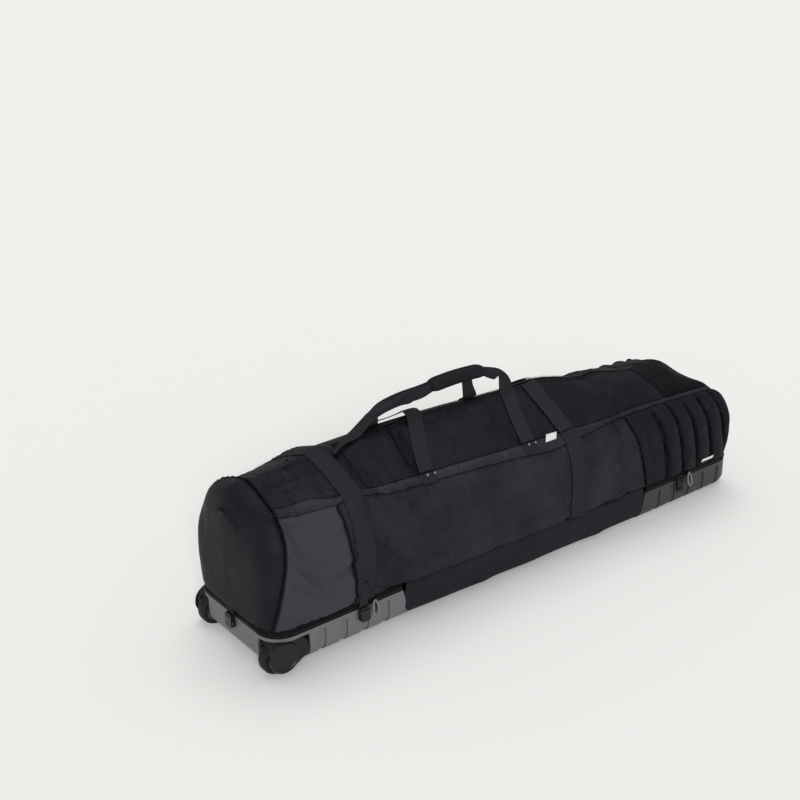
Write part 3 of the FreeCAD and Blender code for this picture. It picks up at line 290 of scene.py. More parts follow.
def seamPull(s, u):
    # how firmly each place of the cover is held: rims, seams, straps and the hems of the zip
    def near(value, line):
        middle, width, grip = line
        return grip * np.exp(-((value - middle) / width) ** 2)

    height = np.abs(u - 5)
    holds = [near(height, line) for line in heldLines["round"]]
    holds += [near(s, line) for line in heldLines["along"]]
    holds.append(near(s, heldLines["sideStrap"]) * (height > heldLines["strapBelow"]))
    start, fade = heldLines["headFrom"]
    holds.append((s - start) / fade)
    start, fade = heldLines["endFrom"]
    holds.append((start - s) / fade)
    return np.clip(np.maximum.reduce(holds), 0, 1)


def relaxCover(settings):
    # cloth with some slack, held at its seams, so that it hangs in the folds that such a cover has
    columns, rows = settings["columns"], settings["rows"]
    s, u = np.meshgrid(gridS, gridU, indexing="ij")
    points = plainCover(s, u)
    index = np.arange(columns * rows).reshape(columns, rows)
    for end in (0, -1):
        index[end] = np.minimum(index[end], index[end][::-1])
    hold = seamPull(s, u).ravel()
    rough = np.random.default_rng(7).normal(0, settings["roughness"], points.shape)
    rough *= np.clip(1 - 1.3 * hold, 0, 1)[:, None]
    cloth = linkMesh("clothDraft", points + rough, gridFaces(columns, rows, index))
    pins = cloth.vertex_groups.new(name="pins")
    for vertex, weight in enumerate(hold):
        pins.add([vertex], float(weight), "REPLACE")
    modifier = cloth.modifiers.new("cloth", "CLOTH")
    fabric = modifier.settings
    for setting, value in settings["fabric"].items():
        setattr(fabric, setting, value)
    fabric.vertex_group_mass = "pins"
    fabric.shrink_min = -settings["slack"]
    fabric.use_pressure = True
    modifier.collision_settings.use_collision = False
    modifier.point_cache.frame_end = settings["frames"]
    for step in range(1, settings["frames"] + 1):
        bpy.context.scene.frame_set(step)
    shaped = cloth.evaluated_get(bpy.context.evaluated_depsgraph_get())
    moved = np.empty(len(shaped.data.vertices) * 3)
    shaped.data.vertices.foreach_get("co", moved)
    moved = moved.reshape(-1, 3)[index.ravel()]
    bpy.data.objects.remove(cloth)
    bpy.context.scene.frame_set(1)
    shift = moved - points
    length = np.linalg.norm(shift, axis=1, keepdims=True)
    cap = settings["cap"]
    shift *= cap * np.tanh(length / cap) / np.maximum(length, 1e-9)
    return (points + shift).reshape(columns, rows, 3)


coverPoints = relaxCover(clothSettings)
print("cover relaxed")


def gridNormals(points):
    along = np.gradient(points, axis=0)
    around = np.gradient(points, axis=1)
    normals = np.cross(along, around)
    return normals / np.maximum(np.linalg.norm(normals, axis=-1, keepdims=True), 1e-9)


coverNormals = gridNormals(coverPoints)
for end in (0, -1):
    coverNormals[end] += coverNormals[end, ::-1]


def splineStep(p0, p1, p2, p3, k):
    # from p1 to p2 on a smooth curve through all four
    return p1 + 0.5 * k * (p2 - p0 + k * (2 * p0 - 5 * p1 + 4 * p2 - p3 + k * (3 * (p1 - p2) + p3 - p0)))


def sampleGrid(grid, s, u):
    # smooth values between the grid's places
    a = np.clip((s - gridS[0]) / (gridS[1] - gridS[0]), 0, len(gridS) - 1.001)
    b = np.clip(u / (gridU[1] - gridU[0]), 0, len(gridU) - 1.001)
    i, j = a.astype(int), b.astype(int)
    lines = []
    for shift in (-1, 0, 1, 2):
        column = np.clip(i + shift, 0, len(gridS) - 1)
        stops = [grid[column, np.clip(j + step, 0, len(gridU) - 1)] for step in (-1, 0, 1, 2)]
        lines.append(splineStep(*stops, (b - j)[:, None]))
    return splineStep(*lines, (a - i)[:, None])


metresPerU = 0.068
# each fold: its line of (s, u) stations, its depth and its width in metres; below zero is a valley
foldSettings = (
    (((0.372, 3.12), (0.376, 3.70), (0.381, 4.30), (0.378, 4.80)), -0.0200, 0.014),
    (((0.340, 3.40), (0.345, 4.00), (0.352, 4.70)), 0.0060, 0.014),
    (((0.242, 4.05), (0.258, 3.73), (0.300, 3.15)), -0.0045, 0.007),
    (((0.262, 4.20), (0.284, 3.80), (0.330, 3.35)), 0.0035, 0.008),
    (((0.250, 2.72), (0.270, 2.35), (0.300, 1.95)), 0.0032, 0.009),
    (((0.240, 2.20), (0.262, 1.80), (0.285, 1.20)), -0.0030, 0.010),
    (((0.060, 4.55), (0.110, 4.42), (0.178, 4.25)), -0.0065, 0.007),
    (((0.075, 5.25), (0.120, 5.05), (0.175, 4.85)), -0.0050, 0.006),
    (((0.085, 4.05), (0.130, 3.95), (0.184, 3.72)), -0.0045, 0.006),
    (((0.070, 4.82), (0.120, 4.72), (0.170, 4.58)), 0.0045, 0.006),
    (((0.885, 5.05), (0.935, 4.45), (0.985, 3.85), (1.040, 3.60)), -0.0060, 0.009),
    (((0.905, 4.55), (0.960, 3.95), (1.005, 3.45)), 0.0035, 0.009),
    (((0.560, 3.30), (0.600, 3.75), (0.640, 4.30)), -0.0035, 0.008),
    (((0.450, 3.20), (0.505, 3.85), (0.520, 4.50)), 0.0030, 0.010),
    (((0.735, 1.60), (0.728, 0.95), (0.740, 0.25)), -0.0030, 0.009),
    (((0.830, 2.30), (0.822, 1.50), (0.842, 0.70)), 0.0028, 0.013),
    (((0.600, 0.55), (0.680, 0.42), (0.742, 0.18)), -0.0040, 0.009),
    (((0.470, 0.42), (0.540, 0.60), (0.600, 0.45)), 0.0035, 0.010),
    (((0.330, 0.35), (0.380, 0.62), (0.450, 0.50)), -0.0035, 0.009),
    (((0.860, 0.62), (0.910, 0.40), (0.945, 0.15)), -0.0035, 0.008),
    (((0.690, 5.0), (0.770, 5.0), (0.880, 5.0)), 0.0130, 0.050),
    (((1.150, 5.4), (1.195, 5.4), (1.240, 5.4)), 0.0090, 0.045),
    (((0.980, 5.2), (1.050, 5.4), (1.120, 5.6)), -0.0060, 0.050),
    (((-0.010, 7.3), (0.060, 7.6), (0.160, 8.0)), -0.0130, 0.060),
    (((0.300, 2.60), (0.330, 2.35), (0.380, 1.90)), -0.0030, 0.008),
    (((0.400, 2.50), (0.395, 1.90), (0.410, 1.20)), 0.0030, 0.014),
    (((0.500, 2.35), (0.510, 1.60), (0.500, 0.90)), -0.0028, 0.012),
    (((0.640, 2.30), (0.632, 1.70), (0.645, 1.00)), 0.0026, 0.012),
    (((0.905, 2.50), (0.915, 1.70), (0.900, 0.90)), -0.0028, 0.012),
    (((0.410, 4.70), (0.470, 4.45), (0.530, 4.62)), -0.0045, 0.008),
    (((0.560, 4.75), (0.600, 4.50), (0.640, 4.66)), 0.0035, 0.008),
    (((0.100, 3.60), (0.130, 3.40), (0.178, 3.30)), 0.0030, 0.008),
)


def foldRise(s, u):
    rise = np.zeros(len(s))
    for line, depth, width in foldSettings:
        stations = np.array(line)
        nearest = np.full(len(s), 1.0)
        fade = np.zeros(len(s))
        count = len(stations) - 1
        for index, (a, b) in enumerate(zip(stations[:-1], stations[1:])):
            way = (b - a) * (1, metresPerU)
            offset = np.stack((s - a[0], (u - a[1]) * metresPerU), 1)
            share = np.clip(offset @ way / (way @ way), 0, 1)
            distance = np.linalg.norm(offset - share[:, None] * way, axis=1)
            closer = distance < nearest
            nearest = np.where(closer, distance, nearest)
            fade = np.where(closer, np.sin(math.pi * (0.06 + 0.88 * (index + share) / count)), fade)
        # a crest with a shallow dip on both sides
        crest = 1.25 * np.exp(-(nearest / width) ** 2)
        rise += depth * fade * (crest - 0.25 * np.exp(-(nearest / width / 2.4) ** 2))
    return rise


def onCover(s, u, lift=0.0, folds=True):
    # places on the relaxed cover, lift above its face
    s, u = (np.asarray(value, float).ravel() for value in np.broadcast_arrays(s, u))
    normals = sampleGrid(coverNormals, s, u)
    normals /= np.maximum(np.linalg.norm(normals, axis=1, keepdims=True), 1e-9)
    raised = np.asarray(lift, float).reshape(-1, 1) + (foldRise(s, u)[:, None] if folds else 0)
    return sampleGrid(coverPoints, s, u) + normals * raised


# materials for cloth, webbing and moulded parts

weaveScale = 0.314  # a wave texture of this scale repeats once in a metre
clothLook = {
    "gloss": 0.07, "distortion": 0.6, "weaveShare": 0.35, "ramp": (0.35, 0.95), "creaseDepth": 0.009,
    "wear": {"Scale": 9, "Detail": 8, "Roughness": 0.65},
    "crumple": {"Scale": 38, "Detail": 4, "Distortion": 0.6},
    "creases": {"Scale": 15, "Detail": 2.5, "Distortion": 1.1},
    # hollow: reach and strength of the painted shade in creases and seam valleys
    "hollow": (0.016, 0.75),
}
webbingLook = {"roughness": 0.72, "gloss": 0.1, "cordSpacing": 1.6, "distortion": 0.4, "dark": 0.55,
               "light": 1.3, "depth": 0.0008}
# hollow: reach and strength of the painted shade in the grooves of the tray lattice
mouldedLook = {"gloss": 0.25, "coatRoughness": 0.25, "grainScale": 700, "cloudScale": 14, "depth": 0.12,
               "latticeDepth": 0.36, "ramp": (0.2, 0.8), "bump": 0.0006, "hollow": (0.012, 0.8)}


def hollowShade(tree, colour, reach, amount):
    # painted shade: grooves and inner corners are a little darker, by an ambient-occlusion factor multiplied
    # into the colour
    hollow = addNode(tree, "ShaderNodeAmbientOcclusion", {"Distance": reach, "Color": colour}, samples=8)
    deep = addNode(tree, "ShaderNodeMix", data_type="RGBA", blend_type="MULTIPLY")
    deep.inputs["Factor"].default_value = amount
    tree.links.new(colour, named(deep.inputs, "A_Color"))
    tree.links.new(hollow.outputs["AO"], named(deep.inputs, "B_Color"))
    return named(deep.outputs, "Result_Color")


def shadeRamp(tree, fac, colour, dark, light, stops=(0, 1)):
    # the colour from darker to lighter shares of itself
    ramp = addNode(tree, "ShaderNodeValToRGB", {"Fac": fac})
    for element, share, stop in zip(ramp.color_ramp.elements, (dark, light), stops):
        element.position = stop
        element.color = (*(part * share for part in colour), 1)
    return ramp.outputs["Color"]


def waveAlong(tree, place, direction, scale, **inputs):
    wave = addNode(tree, "ShaderNodeTexWave", {"Scale": scale, "Vector": place["UV"], **inputs},
                   bands_direction=direction)
    return wave.outputs["Fac"]


def clothMaterial(name, colour, thread, roughness, mottle=0.2, bump=0.12, crease=3.5):
    # woven cloth; its UV map is in metres along the warp and the weft
    look = clothLook
    material = newMaterial(name, colour, roughness, Specular_IOR_Level=look["gloss"])
    tree = material.node_tree
    place = addNode(tree, "ShaderNodeTexCoord").outputs
    warp, weft = (
        waveAlong(tree, place, direction, weaveScale / thread, Distortion=look["distortion"], Detail=1)
        for direction in ("X", "Y"))
    weave = addNode(tree, "ShaderNodeMath", {0: warp, 1: weft}, operation="MULTIPLY").outputs[0]
    wear, crumple, creases = (
        addNode(tree, "ShaderNodeTexNoise", {**look[key], "Vector": place["Object"]}).outputs["Fac"]
        for key in ("wear", "crumple", "creases"))
    blend = addNode(tree, "ShaderNodeMath", {0: weave, 1: look["weaveShare"], 2: wear},
                    operation="MULTIPLY_ADD")
    shade = shadeRamp(tree, blend.outputs[0], colour, 1 - mottle, 1 + mottle, look["ramp"])
    # sharp creases lie where the noise crosses its middle, over a soft crumple
    centred = addNode(tree, "ShaderNodeMath", {0: creases, 1: 0.5}, operation="SUBTRACT")
    valley = addNode(tree, "ShaderNodeMath", {0: centred.outputs[0]}, operation="ABSOLUTE")
    both = addNode(tree, "ShaderNodeMath", {0: valley.outputs[0], 1: crease, 2: crumple},
                   operation="MULTIPLY_ADD")
    soft = addNode(tree, "ShaderNodeBump", {"Strength": 0.5 if crease > 1 else 0.15,
                                            "Distance": look["creaseDepth"], "Height": both.outputs[0]})
    fine = addNode(tree, "ShaderNodeBump", {"Strength": bump, "Distance": thread, "Height": weave,
                                            "Normal": soft.outputs["Normal"]})
    shader = tree.nodes["Principled BSDF"]
    # the colour carries painted shade in creases and seam valleys
    tree.links.new(hollowShade(tree, shade, *look["hollow"]), shader.inputs["Base Color"])
    tree.links.new(fine.outputs["Normal"], shader.inputs["Normal"])
    return material


def webbingMaterial(name, colour, rib=0.0022):
    # ribs run across the strap; its UV map is in metres, u along the strap
    look = webbingLook
    material = newMaterial(name, colour, look["roughness"], Specular_IOR_Level=look["gloss"])
    tree = material.node_tree
    place = addNode(tree, "ShaderNodeTexCoord").outputs
    ribs = waveAlong(tree, place, "X", weaveScale / rib)
    cords = waveAlong(tree, place, "Y", weaveScale / (rib * look["cordSpacing"]),
                      Distortion=look["distortion"])
    total = addNode(tree, "ShaderNodeMath", {0: cords, 1: 0.5, 2: ribs}, operation="MULTIPLY_ADD").outputs[0]
    bump = addNode(tree, "ShaderNodeBump", {"Strength": 0.5, "Distance": look["depth"], "Height": total})
    shader = tree.nodes["Principled BSDF"]
    tree.links.new(shadeRamp(tree, total, colour, look["dark"], look["light"]), shader.inputs["Base Color"])
    tree.links.new(bump.outputs["Normal"], shader.inputs["Normal"])
    return material


def diamondLattice(tree, place, pitch):
    # four crossing sets of waves make small diamonds on every face
    total = None
    for direction in ((1, 1, 1), (1, -1, -1), (-1, 1, -1), (-1, -1, 1)):
        across = tuple(axis * math.pi / pitch for axis in direction)
        dot = addNode(tree, "ShaderNodeVectorMath", {0: place["Object"], 1: across}, operation="DOT_PRODUCT")
        sine = addNode(tree, "ShaderNodeMath", {0: dot.outputs["Value"]}, operation="SINE").outputs[0]
        total = addNode(tree, "ShaderNodeMath", {0: sine, 1: 0 if total is None else total},
                        operation="ADD").outputs[0]
    return total


def mouldedMaterial(name, colour, roughness, grain=0.0, lattice=0.0, coat=0.0, metallic=0.0):
    # moulded plastic or metal, with a fine noise grain, a soft cloud or a lattice of small diamonds
    look = mouldedLook
    material = newMaterial(name, colour, roughness, Coat_Weight=coat, Coat_Roughness=look["coatRoughness"],
                           Specular_IOR_Level=look["gloss"], Metallic=metallic)
    tree = material.node_tree
    place = addNode(tree, "ShaderNodeTexCoord").outputs
    if lattice:
        height, lowest, highest = diamondLattice(tree, place, lattice), -2, 2
        depth, strength = look["latticeDepth"], 0.35
    else:
        scale = look["grainScale"] if grain else look["cloudScale"]
        noise = addNode(tree, "ShaderNodeTexNoise", {"Scale": scale, "Detail": 3, "Vector": place["Object"]})
        height, lowest, highest = noise.outputs["Fac"], 0.3, 0.7
        depth, strength = look["depth"], 0.12 if grain else 0.03
    spread = addNode(tree, "ShaderNodeMapRange",
                     {"From Min": lowest, "From Max": highest, "Value": height}).outputs[0]
    shade = shadeRamp(tree, spread, colour, 1 - depth, 1 + depth, look["ramp"])
    # lattice trays get painted shade in their grooves
    if lattice:
        shade = hollowShade(tree, shade, *look["hollow"])
    bump = addNode(tree, "ShaderNodeBump", {"Strength": strength, "Distance": look["bump"], "Height": spread})
    shader = tree.nodes["Principled BSDF"]
    tree.links.new(shade, shader.inputs["Base Color"])
    tree.links.new(bump.outputs["Normal"], shader.inputs["Normal"])
    return material


blackCloth = clothMaterial("heavyNylon", (0.0205, 0.0196, 0.0260), 0.0011, 0.6, mottle=0.55)
yokeCloth = clothMaterial("yokeNylon", (0.0300, 0.0289, 0.0375), 0.0011, 0.6, mottle=0.55)
# painted shade: the top flaps and zip hems get a darker copy of the side nylon, for the dimmer light on the
# top
shadedTopCloth = clothMaterial("shadedTopNylon", (0.0122, 0.0116, 0.0162), 0.0011, 0.6, mottle=0.55)
headCloth = clothMaterial("headNylon", (0.0040, 0.0037, 0.0058), 0.0011, 0.62, mottle=0.55)
quiltCloth = clothMaterial("quiltNylon", (0.0092, 0.0087, 0.0122), 0.0009, 0.55, bump=0.03)
crumpledCloth = clothMaterial("crumpledNylon", (0.0160, 0.0153, 0.0210), 0.0011, 0.6, mottle=0.55, crease=10)
floorCloth = clothMaterial("floorNylon", (0.0150, 0.0150, 0.0195), 0.0014, 0.66)
coatedCloth = clothMaterial("coatedCloth", (0.0405, 0.0388, 0.0480), 0.0007, 0.5, mottle=0.06, bump=0.05,
                            crease=0.6)
endCloth = clothMaterial("endCloth", (0.0112, 0.0115, 0.0150), 0.0009, 0.52, mottle=0.5, bump=0.06,
                         crease=0.3)
tapeCloth = clothMaterial("zipTape", (0.006, 0.006, 0.007), 0.0008, 0.7)
strapWebbing = webbingMaterial("strapWebbing", (0.0170, 0.0165, 0.0205))
greyWebbing = webbingMaterial("greyWebbing", (0.16, 0.16, 0.17), 0.0016)
gripCloth = clothMaterial("gripCloth", (0.012, 0.012, 0.015), 0.0015, 0.6)
labelCloth = clothMaterial("labelCloth", (0.62, 0.62, 0.62), 0.0006, 0.6, mottle=0.05, crease=0)
threadMaterial = mouldedMaterial("seamThread", (0.020, 0.020, 0.024), 0.6, grain=0.5)
toothPlastic = mouldedMaterial("toothPlastic", (0.010, 0.010, 0.011), 0.35, grain=0.5)
trayPlastic = mouldedMaterial("trayPlastic", (0.122, 0.120, 0.126), 0.42, lattice=0.0026)
headTrayPlastic = mouldedMaterial("headTrayPlastic", (0.036, 0.036, 0.037), 0.45, lattice=0.0026)
housingPlastic = mouldedMaterial("housingPlastic", (0.008, 0.008, 0.010), 0.42, grain=0.5)
capPlastic = mouldedMaterial("capPlastic", (0.011, 0.0105, 0.0135), 0.4, grain=0.5)
tyreRubber = mouldedMaterial("tyreRubber", (0.006, 0.006, 0.007), 0.6, grain=0.5)
gripRubber = mouldedMaterial("gripRubber", (0.012, 0.012, 0.013), 0.5, grain=0.5)
bucklePlastic = mouldedMaterial("bucklePlastic", (0.008, 0.008, 0.009), 0.3, coat=0.1)
hubPlastic = mouldedMaterial("hubPlastic", (0.05, 0.05, 0.055), 0.45, grain=0.5)
darkMetal = mouldedMaterial("darkMetal", (0.05, 0.05, 0.055), 0.35, metallic=0.9)
paleMetal = mouldedMaterial("paleMetal", (0.45, 0.45, 0.46), 0.3, metallic=1.0)

carriedNodes = {
    trayPlastic: ("wheel_tray",),
    headTrayPlastic: ("head_tray",),
    housingPlastic: ("wheel_housing_near", "wheel_housing_far", "pull_bracket_near", "pull_bracket_far",
                     "pull_core"),
    capPlastic: ("wheel_cap_near", "wheel_cap_far"),
    tyreRubber: ("tyre_near", "tyre_far"),
    hubPlastic: ("hub_near", "hub_far"),
    gripRubber: ("pull_grip",),
    bucklePlastic: tuple(f"{half}_buckle_{side}" for half in ("female", "male")
                         for side in ("near", "far", "end")),
    darkMetal: ("tray_screws", "rim_slider_wheel", "rim_slider_head", "main_slider", "rim_pull_wheel",
                "rim_pull_head", "main_pull"),
    paleMetal: ("bearings_near", "bearings_far", "axle_near", "axle_far", "rivets"),
}
for material, names in carriedNodes.items():
    for name in names:
        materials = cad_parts[name].data.materials
        materials.clear()
        materials.append(material)
print("materials ready")


# sewn panels, cut from the relaxed cover

panelSettings = {"spacing": 0.0048, "thickness": 0.0022, "seamDepth": 0.0022, "seamWidth": 0.0045}
seams = {"arch": 0.030, "side": 0.182, "pad": 0.959, "padEnd": 1.252,
         "archLean": 0.16, "sideLean": -0.09, "padLean": -0.345, "uprightHeight": 0.200}


def level(value):
    return lambda s: np.full(np.shape(s), float(value))


def yokeEdge(s):
    return smoothThrough(((0.030, 3.22), (0.062, 3.17), (0.150, 2.95), (0.235, 2.84), (0.300, 2.7),
                          (0.460, 2.67), (0.625, 2.57), (0.723, 2.46), (0.810, 2.62), (0.900, 2.8),
                          (1.252, 2.8)), s)


def yokeTop(s):
    return np.maximum(2.995, smoothThrough(((0.030, 3.60), (0.120, 3.45), (0.185, 3.20), (0.250, 2.995)), s))


def mirrored(u):
    return farRim - u


def farYokeTop(s):
    return mirrored(yokeTop(s))


def farYokeEdge(s):
    return mirrored(yokeEdge(s))


def seamLean(s):
    # how far a seam slants along the case for each metre of height; it dies away beside the seam
    def share(seam, reach):
        return np.clip(1 - np.abs(s - seams[seam]) / reach, 0, 1)

    return (seams["archLean"] * share("arch", 0.06) + seams["sideLean"] * share("side", 0.05)
            + seams["padLean"] * np.where(s < seams["pad"], share("pad", 0.12), np.clip(
                (seams["padEnd"] - s) / (seams["padEnd"] - seams["pad"]), 0, 1)))


def leant(s, u):
    # the height depends a little on the shift, so it is worked out a few times
    along = s
    for _ in range(4):
        height = plainCover(along, u)[:, 2]
        along = s + seamLean(s) * (height - seams["uprightHeight"])
    return along


def setMetreMap(piece, places):
    layer = piece.data.uv_layers.new(name="metres")
    corners = np.empty(len(piece.data.loops), int)
    piece.data.loops.foreach_get("vertex_index", corners)
    layer.data.foreach_set("uv", np.asarray(places)[corners].astype(np.float32).ravel())


def finishPiece(piece, body, material, nodes=()):
    edit = bmesh.new()
    edit.from_mesh(piece.data)
    bmesh.ops.remove_doubles(edit, verts=edit.verts, dist=2e-6)
    bmesh.ops.recalc_face_normals(edit, faces=edit.faces)
    edit.to_mesh(piece.data)
    edit.free()
    piece.data.materials.clear()
    piece.data.materials.append(material)
    if body:
        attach(piece, body)
    if nodes:
        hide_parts(*nodes)
    return piece


def closedSheet(name, face, back, shape, places, openSides=()):
    # joins the two sides of a thin sheet, each a grid of places, into one closed mesh
    columns, rows = shape
    count = columns * rows
    quads = [quad[::-1] for quad in gridFaces(columns, rows)]
    quads += [[corner + count for corner in quad[::-1]] for quad in quads]
    rim = np.arange(count).reshape(columns, rows)
    sides = {"low": rim[0, ::-1], "high": rim[-1, :], "first": rim[:, 0], "last": rim[::-1, -1]}
    for side, line in sides.items():
        if side in openSides:
            continue
        for here, there in zip(line[:-1], line[1:]):
            quads.append([int(here), int(there), int(there) + count, int(here) + count])
    piece = linkMesh(name, np.concatenate((face, back)), quads)
    setMetreMap(piece, np.tile(places, (2, 1)))
    return piece


def sewnPanel(name, body, nodes, material, sRange, uRange, lift=0.0, folded=(), puff=None,
              spacing=panelSettings["spacing"]):
    # folded names the end at which the panel meets itself on the flat of an end wall
    low, high = sRange
    middle = np.array([(low + high) / 2])
    columns = max(3, int((high - low) / spacing) + 1)
    rows = max(5, int(abs((uRange[1](middle) - uRange[0](middle))[0]) * metresPerU / spacing) + 1)
    s, a = np.meshgrid(np.linspace(low, high, columns), np.linspace(0, 1, rows), indexing="ij")
    s, a = s.ravel(), a.ravel()
    uLow, uHigh = uRange[0](s), uRange[1](s)
    u = uLow + (uHigh - uLow) * a
    along = leant(s, u)
    edge = metresPerU * np.minimum(u - uLow, uHigh - u)
    if "low" not in folded:
        edge = np.minimum(edge, s - low)
    if "high" not in folded:
        edge = np.minimum(edge, high - s)
    dip = panelSettings["seamDepth"] * np.exp(-(edge / panelSettings["seamWidth"]) ** 2)
    rise = lift - dip + (puff(along, u, (u - uLow) / (uHigh - uLow)) if puff else 0)
    face = onCover(along, u, rise)
    back = onCover(along, u, np.minimum(rise, lift - dip) - panelSettings["thickness"])
    piece = closedSheet(name, face, back, (columns, rows), np.stack((along, u * metresPerU), 1), folded)
    return finishPiece(piece, body, material, nodes)


def sewCover():
    start, end = coverShape["flapStart"], coverShape["flapEnd"]
    arch, side, pad, padEnd = (seams[key] for key in ("arch", "side", "pad", "padEnd"))
    sides = {"near": ((level(0), yokeEdge), (yokeEdge, yokeTop), (level(3.005), level(4.89)),
                      (level(4.88), level(4.975)), (level(4.79), level(4.90))),
             "far": ((farYokeEdge, level(farRim)), (farYokeTop, farYokeEdge), (level(5.11), level(6.995)),
                     (level(5.025), level(5.12)), (level(5.10), level(5.21)))}
    for sideName, (sideU, yokeU, flapU, tapeU, hemU) in sides.items():
        sewnPanel(f"sidePanel_{sideName}", "case", [f"side_panel_{sideName}"], coatedCloth,
                  (arch, side), sideU)
        sewnPanel(f"bodySide_{sideName}", "case", [f"body_side_{sideName}"], blackCloth,
                  (side, pad), sideU)
        sewnPanel(f"yokeBand_{sideName}", "case", [f"yoke_{sideName}"], yokeCloth,
                  (arch, padEnd), yokeU, lift=0.001)
        # the flap and its hem use the darker top nylon, which is painted shade
        sewnPanel(f"topFlap_{sideName}", f"flap_{sideName}", [f"flap_{sideName}"], shadedTopCloth,
                  (start, end), flapU)
        sewnPanel(f"zipTape_{sideName}", f"flap_{sideName}", [f"zip_edge_{sideName}"], tapeCloth,
                  (start + 0.003, end - 0.003), tapeU, lift=0.0004, spacing=0.004)
        sewnPanel(f"zipHem_{sideName}", f"flap_{sideName}", [], shadedTopCloth,
                  (start, end), hemU, lift=0.0024, spacing=0.004)
        # a facing inside the fold line, seen when the flap is open
        facing = (level(2.90), level(3.14)) if sideName == "near" else (level(6.86), level(7.10))
        sewnPanel(f"foldFacing_{sideName}", "case", [], yokeCloth,
                  (start + 0.004, end - 0.004), facing, lift=-0.0042)
        padded = sewnPanel(f"headPad_{sideName}", "case", [f"head_pad_{sideName}"],
                           quiltCloth, (pad, padEnd), sideU, puff=quiltRise, spacing=0.003)
    topU = (yokeTop, farYokeTop)
    sewnPanel("topWheelEnd", "case", ["top_wheel_end"], crumpledCloth, (arch, start), topU)
    sewnPanel("topHead", "case", ["top_head"], headCloth, (end, padEnd), topU)
    allU = (level(0), level(farRim))
    sewnPanel("endHood", "case", ["end_panel"], endCloth, (gridS[0], arch), allU,
              folded=("low",))
    sewnPanel("headHood", "case", ["head_cap"], headCloth, (padEnd, gridS[-1]), allU,
              folded=("high",))


quiltSettings = {"first": 1.008, "width": 0.0485, "slant": 0.0212, "rise": 0.0125, "crease": 0.0115}


def quiltRise(along, u, share):
    # the pad swells between its sewn channels, which slant towards the head
    settings = quiltSettings
    height = np.minimum(u, farRim - u)
    phase = (along - settings["first"] - (2.85 - height) * settings["slant"]) / settings["width"]
    across = phase % 1
    swell = np.sqrt(np.clip(1 - (2 * across - 1) ** 2, 0, 1))
    crease = np.exp(-(np.minimum(across, 1 - across) * settings["width"] / 0.0035) ** 2)
    flatter = np.where(phase < 0, 0.35, 1.0)
    ends = np.clip(np.minimum(share, 1 - share) / 0.07, 0, 1) ** 0.5
    return (settings["rise"] * swell * flatter - settings["crease"] * crease * (phase > -0.5)) * ends


sewCover()
print("cover sewn")


# strips of webbing

def evenPath(stations, step=0.006):
    # smooth, evenly spaced places through stations of any number of columns; the first two are metric
    stations = np.asarray(stations, float)
    fine = []
    k = np.linspace(0, 1, 24, endpoint=False)[:, None]
    for index in range(len(stations) - 1):
        p0, p1 = stations[max(index - 1, 0)], stations[index]
        p2, p3 = stations[index + 1], stations[min(index + 2, len(stations) - 1)]
        fine.append(splineStep(p0, p1, p2, p3, k))
    fine = np.concatenate((*fine, stations[-1:]))
    metric = fine[:, :3] if stations.shape[1] > 3 else fine * np.array((1, metresPerU))
    run = np.concatenate(([0], np.cumsum(np.linalg.norm(np.diff(metric, axis=0), axis=1))))
    count = max(3, int(run[-1] / step) + 1)
    even = np.linspace(0, run[-1], count)
    return even, np.stack([np.interp(even, run, column) for column in fine.T], 1)


webbingEdge = {"count": 7, "drop": 0.0006}  # places across a strip, and how far its edges round over


def stripOffsets():
    across = np.sin(np.linspace(-math.pi / 2, math.pi / 2, webbingEdge["count"]))
    return across, -webbingEdge["drop"] * np.abs(across) ** 8


def laidStrip(name, body, nodes, line, width, lift=0.0008, thickness=0.0016):
    # a strip sewn flat along a line of (s, u) stations
    run, path = evenPath(line)
    metric = path * np.array((1, metresPerU))
    tangent = np.gradient(metric, axis=0)
    tangent /= np.linalg.norm(tangent, axis=1, keepdims=True)
    across, drop = stripOffsets()
    across = across * width / 2
    s = path[:, :1] - tangent[:, 1:] * across[None]
    u = path[:, 1:] + tangent[:, :1] * across[None] / metresPerU
    top = lift + thickness + np.tile(drop, (len(run), 1))
    face = onCover(s, u, top.ravel())
    back = onCover(s, u, (top - thickness).ravel())
    places = np.stack([grid.ravel() for grid in np.meshgrid(run, across, indexing="ij")], 1)
    piece = closedSheet(name, face, back, (len(run), len(across)), places)
    return finishPiece(piece, body, strapWebbing, nodes)


def freeStrip(name, body, nodes, stations, thickness=0.0018):
    # a strip through the air: each station is its middle and its half width, as six numbers
    run, path = evenPath([[*middle, *half] for middle, half in stations])
    middle, half = path[:, :3], path[:, 3:]
    tangent = np.gradient(middle, axis=0)
    thick = np.cross(tangent, half)
    thick /= np.linalg.norm(thick, axis=1, keepdims=True)
    across, drop = stripOffsets()
    centre = middle[:, None] + half[:, None] * across[None, :, None]
    rise = thick[:, None] * (thickness / 2 + drop)[None, :, None]
    width = np.linalg.norm(half, axis=1)
    places = np.stack((np.repeat(run, len(across)), (width[:, None] * across[None]).ravel()), 1)
    piece = closedSheet(name, (centre + rise).reshape(-1, 3), (centre - rise).reshape(-1, 3),
                        (len(run), len(across)), places)
    return finishPiece(piece, body, strapWebbing, nodes)


def joined(name, pieces):
    # several meshes of one body made into one
    for piece in pieces:
        piece.select_set(True)
    bpy.context.view_layer.objects.active = pieces[0]
    with bpy.context.temp_override(active_object=pieces[0], selected_editable_objects=pieces):
        bpy.ops.object.join()
    pieces[0].name = name
    return pieces[0]


strapSettings = {"hoop": 0.210, "hoopSlant": -0.0025, "second": 0.772, "secondSlant": -0.012,
                 "hoopWidth": 0.044, "secondWidth": 0.044, "width": 0.038, "tabs": (0.390, 0.657)}


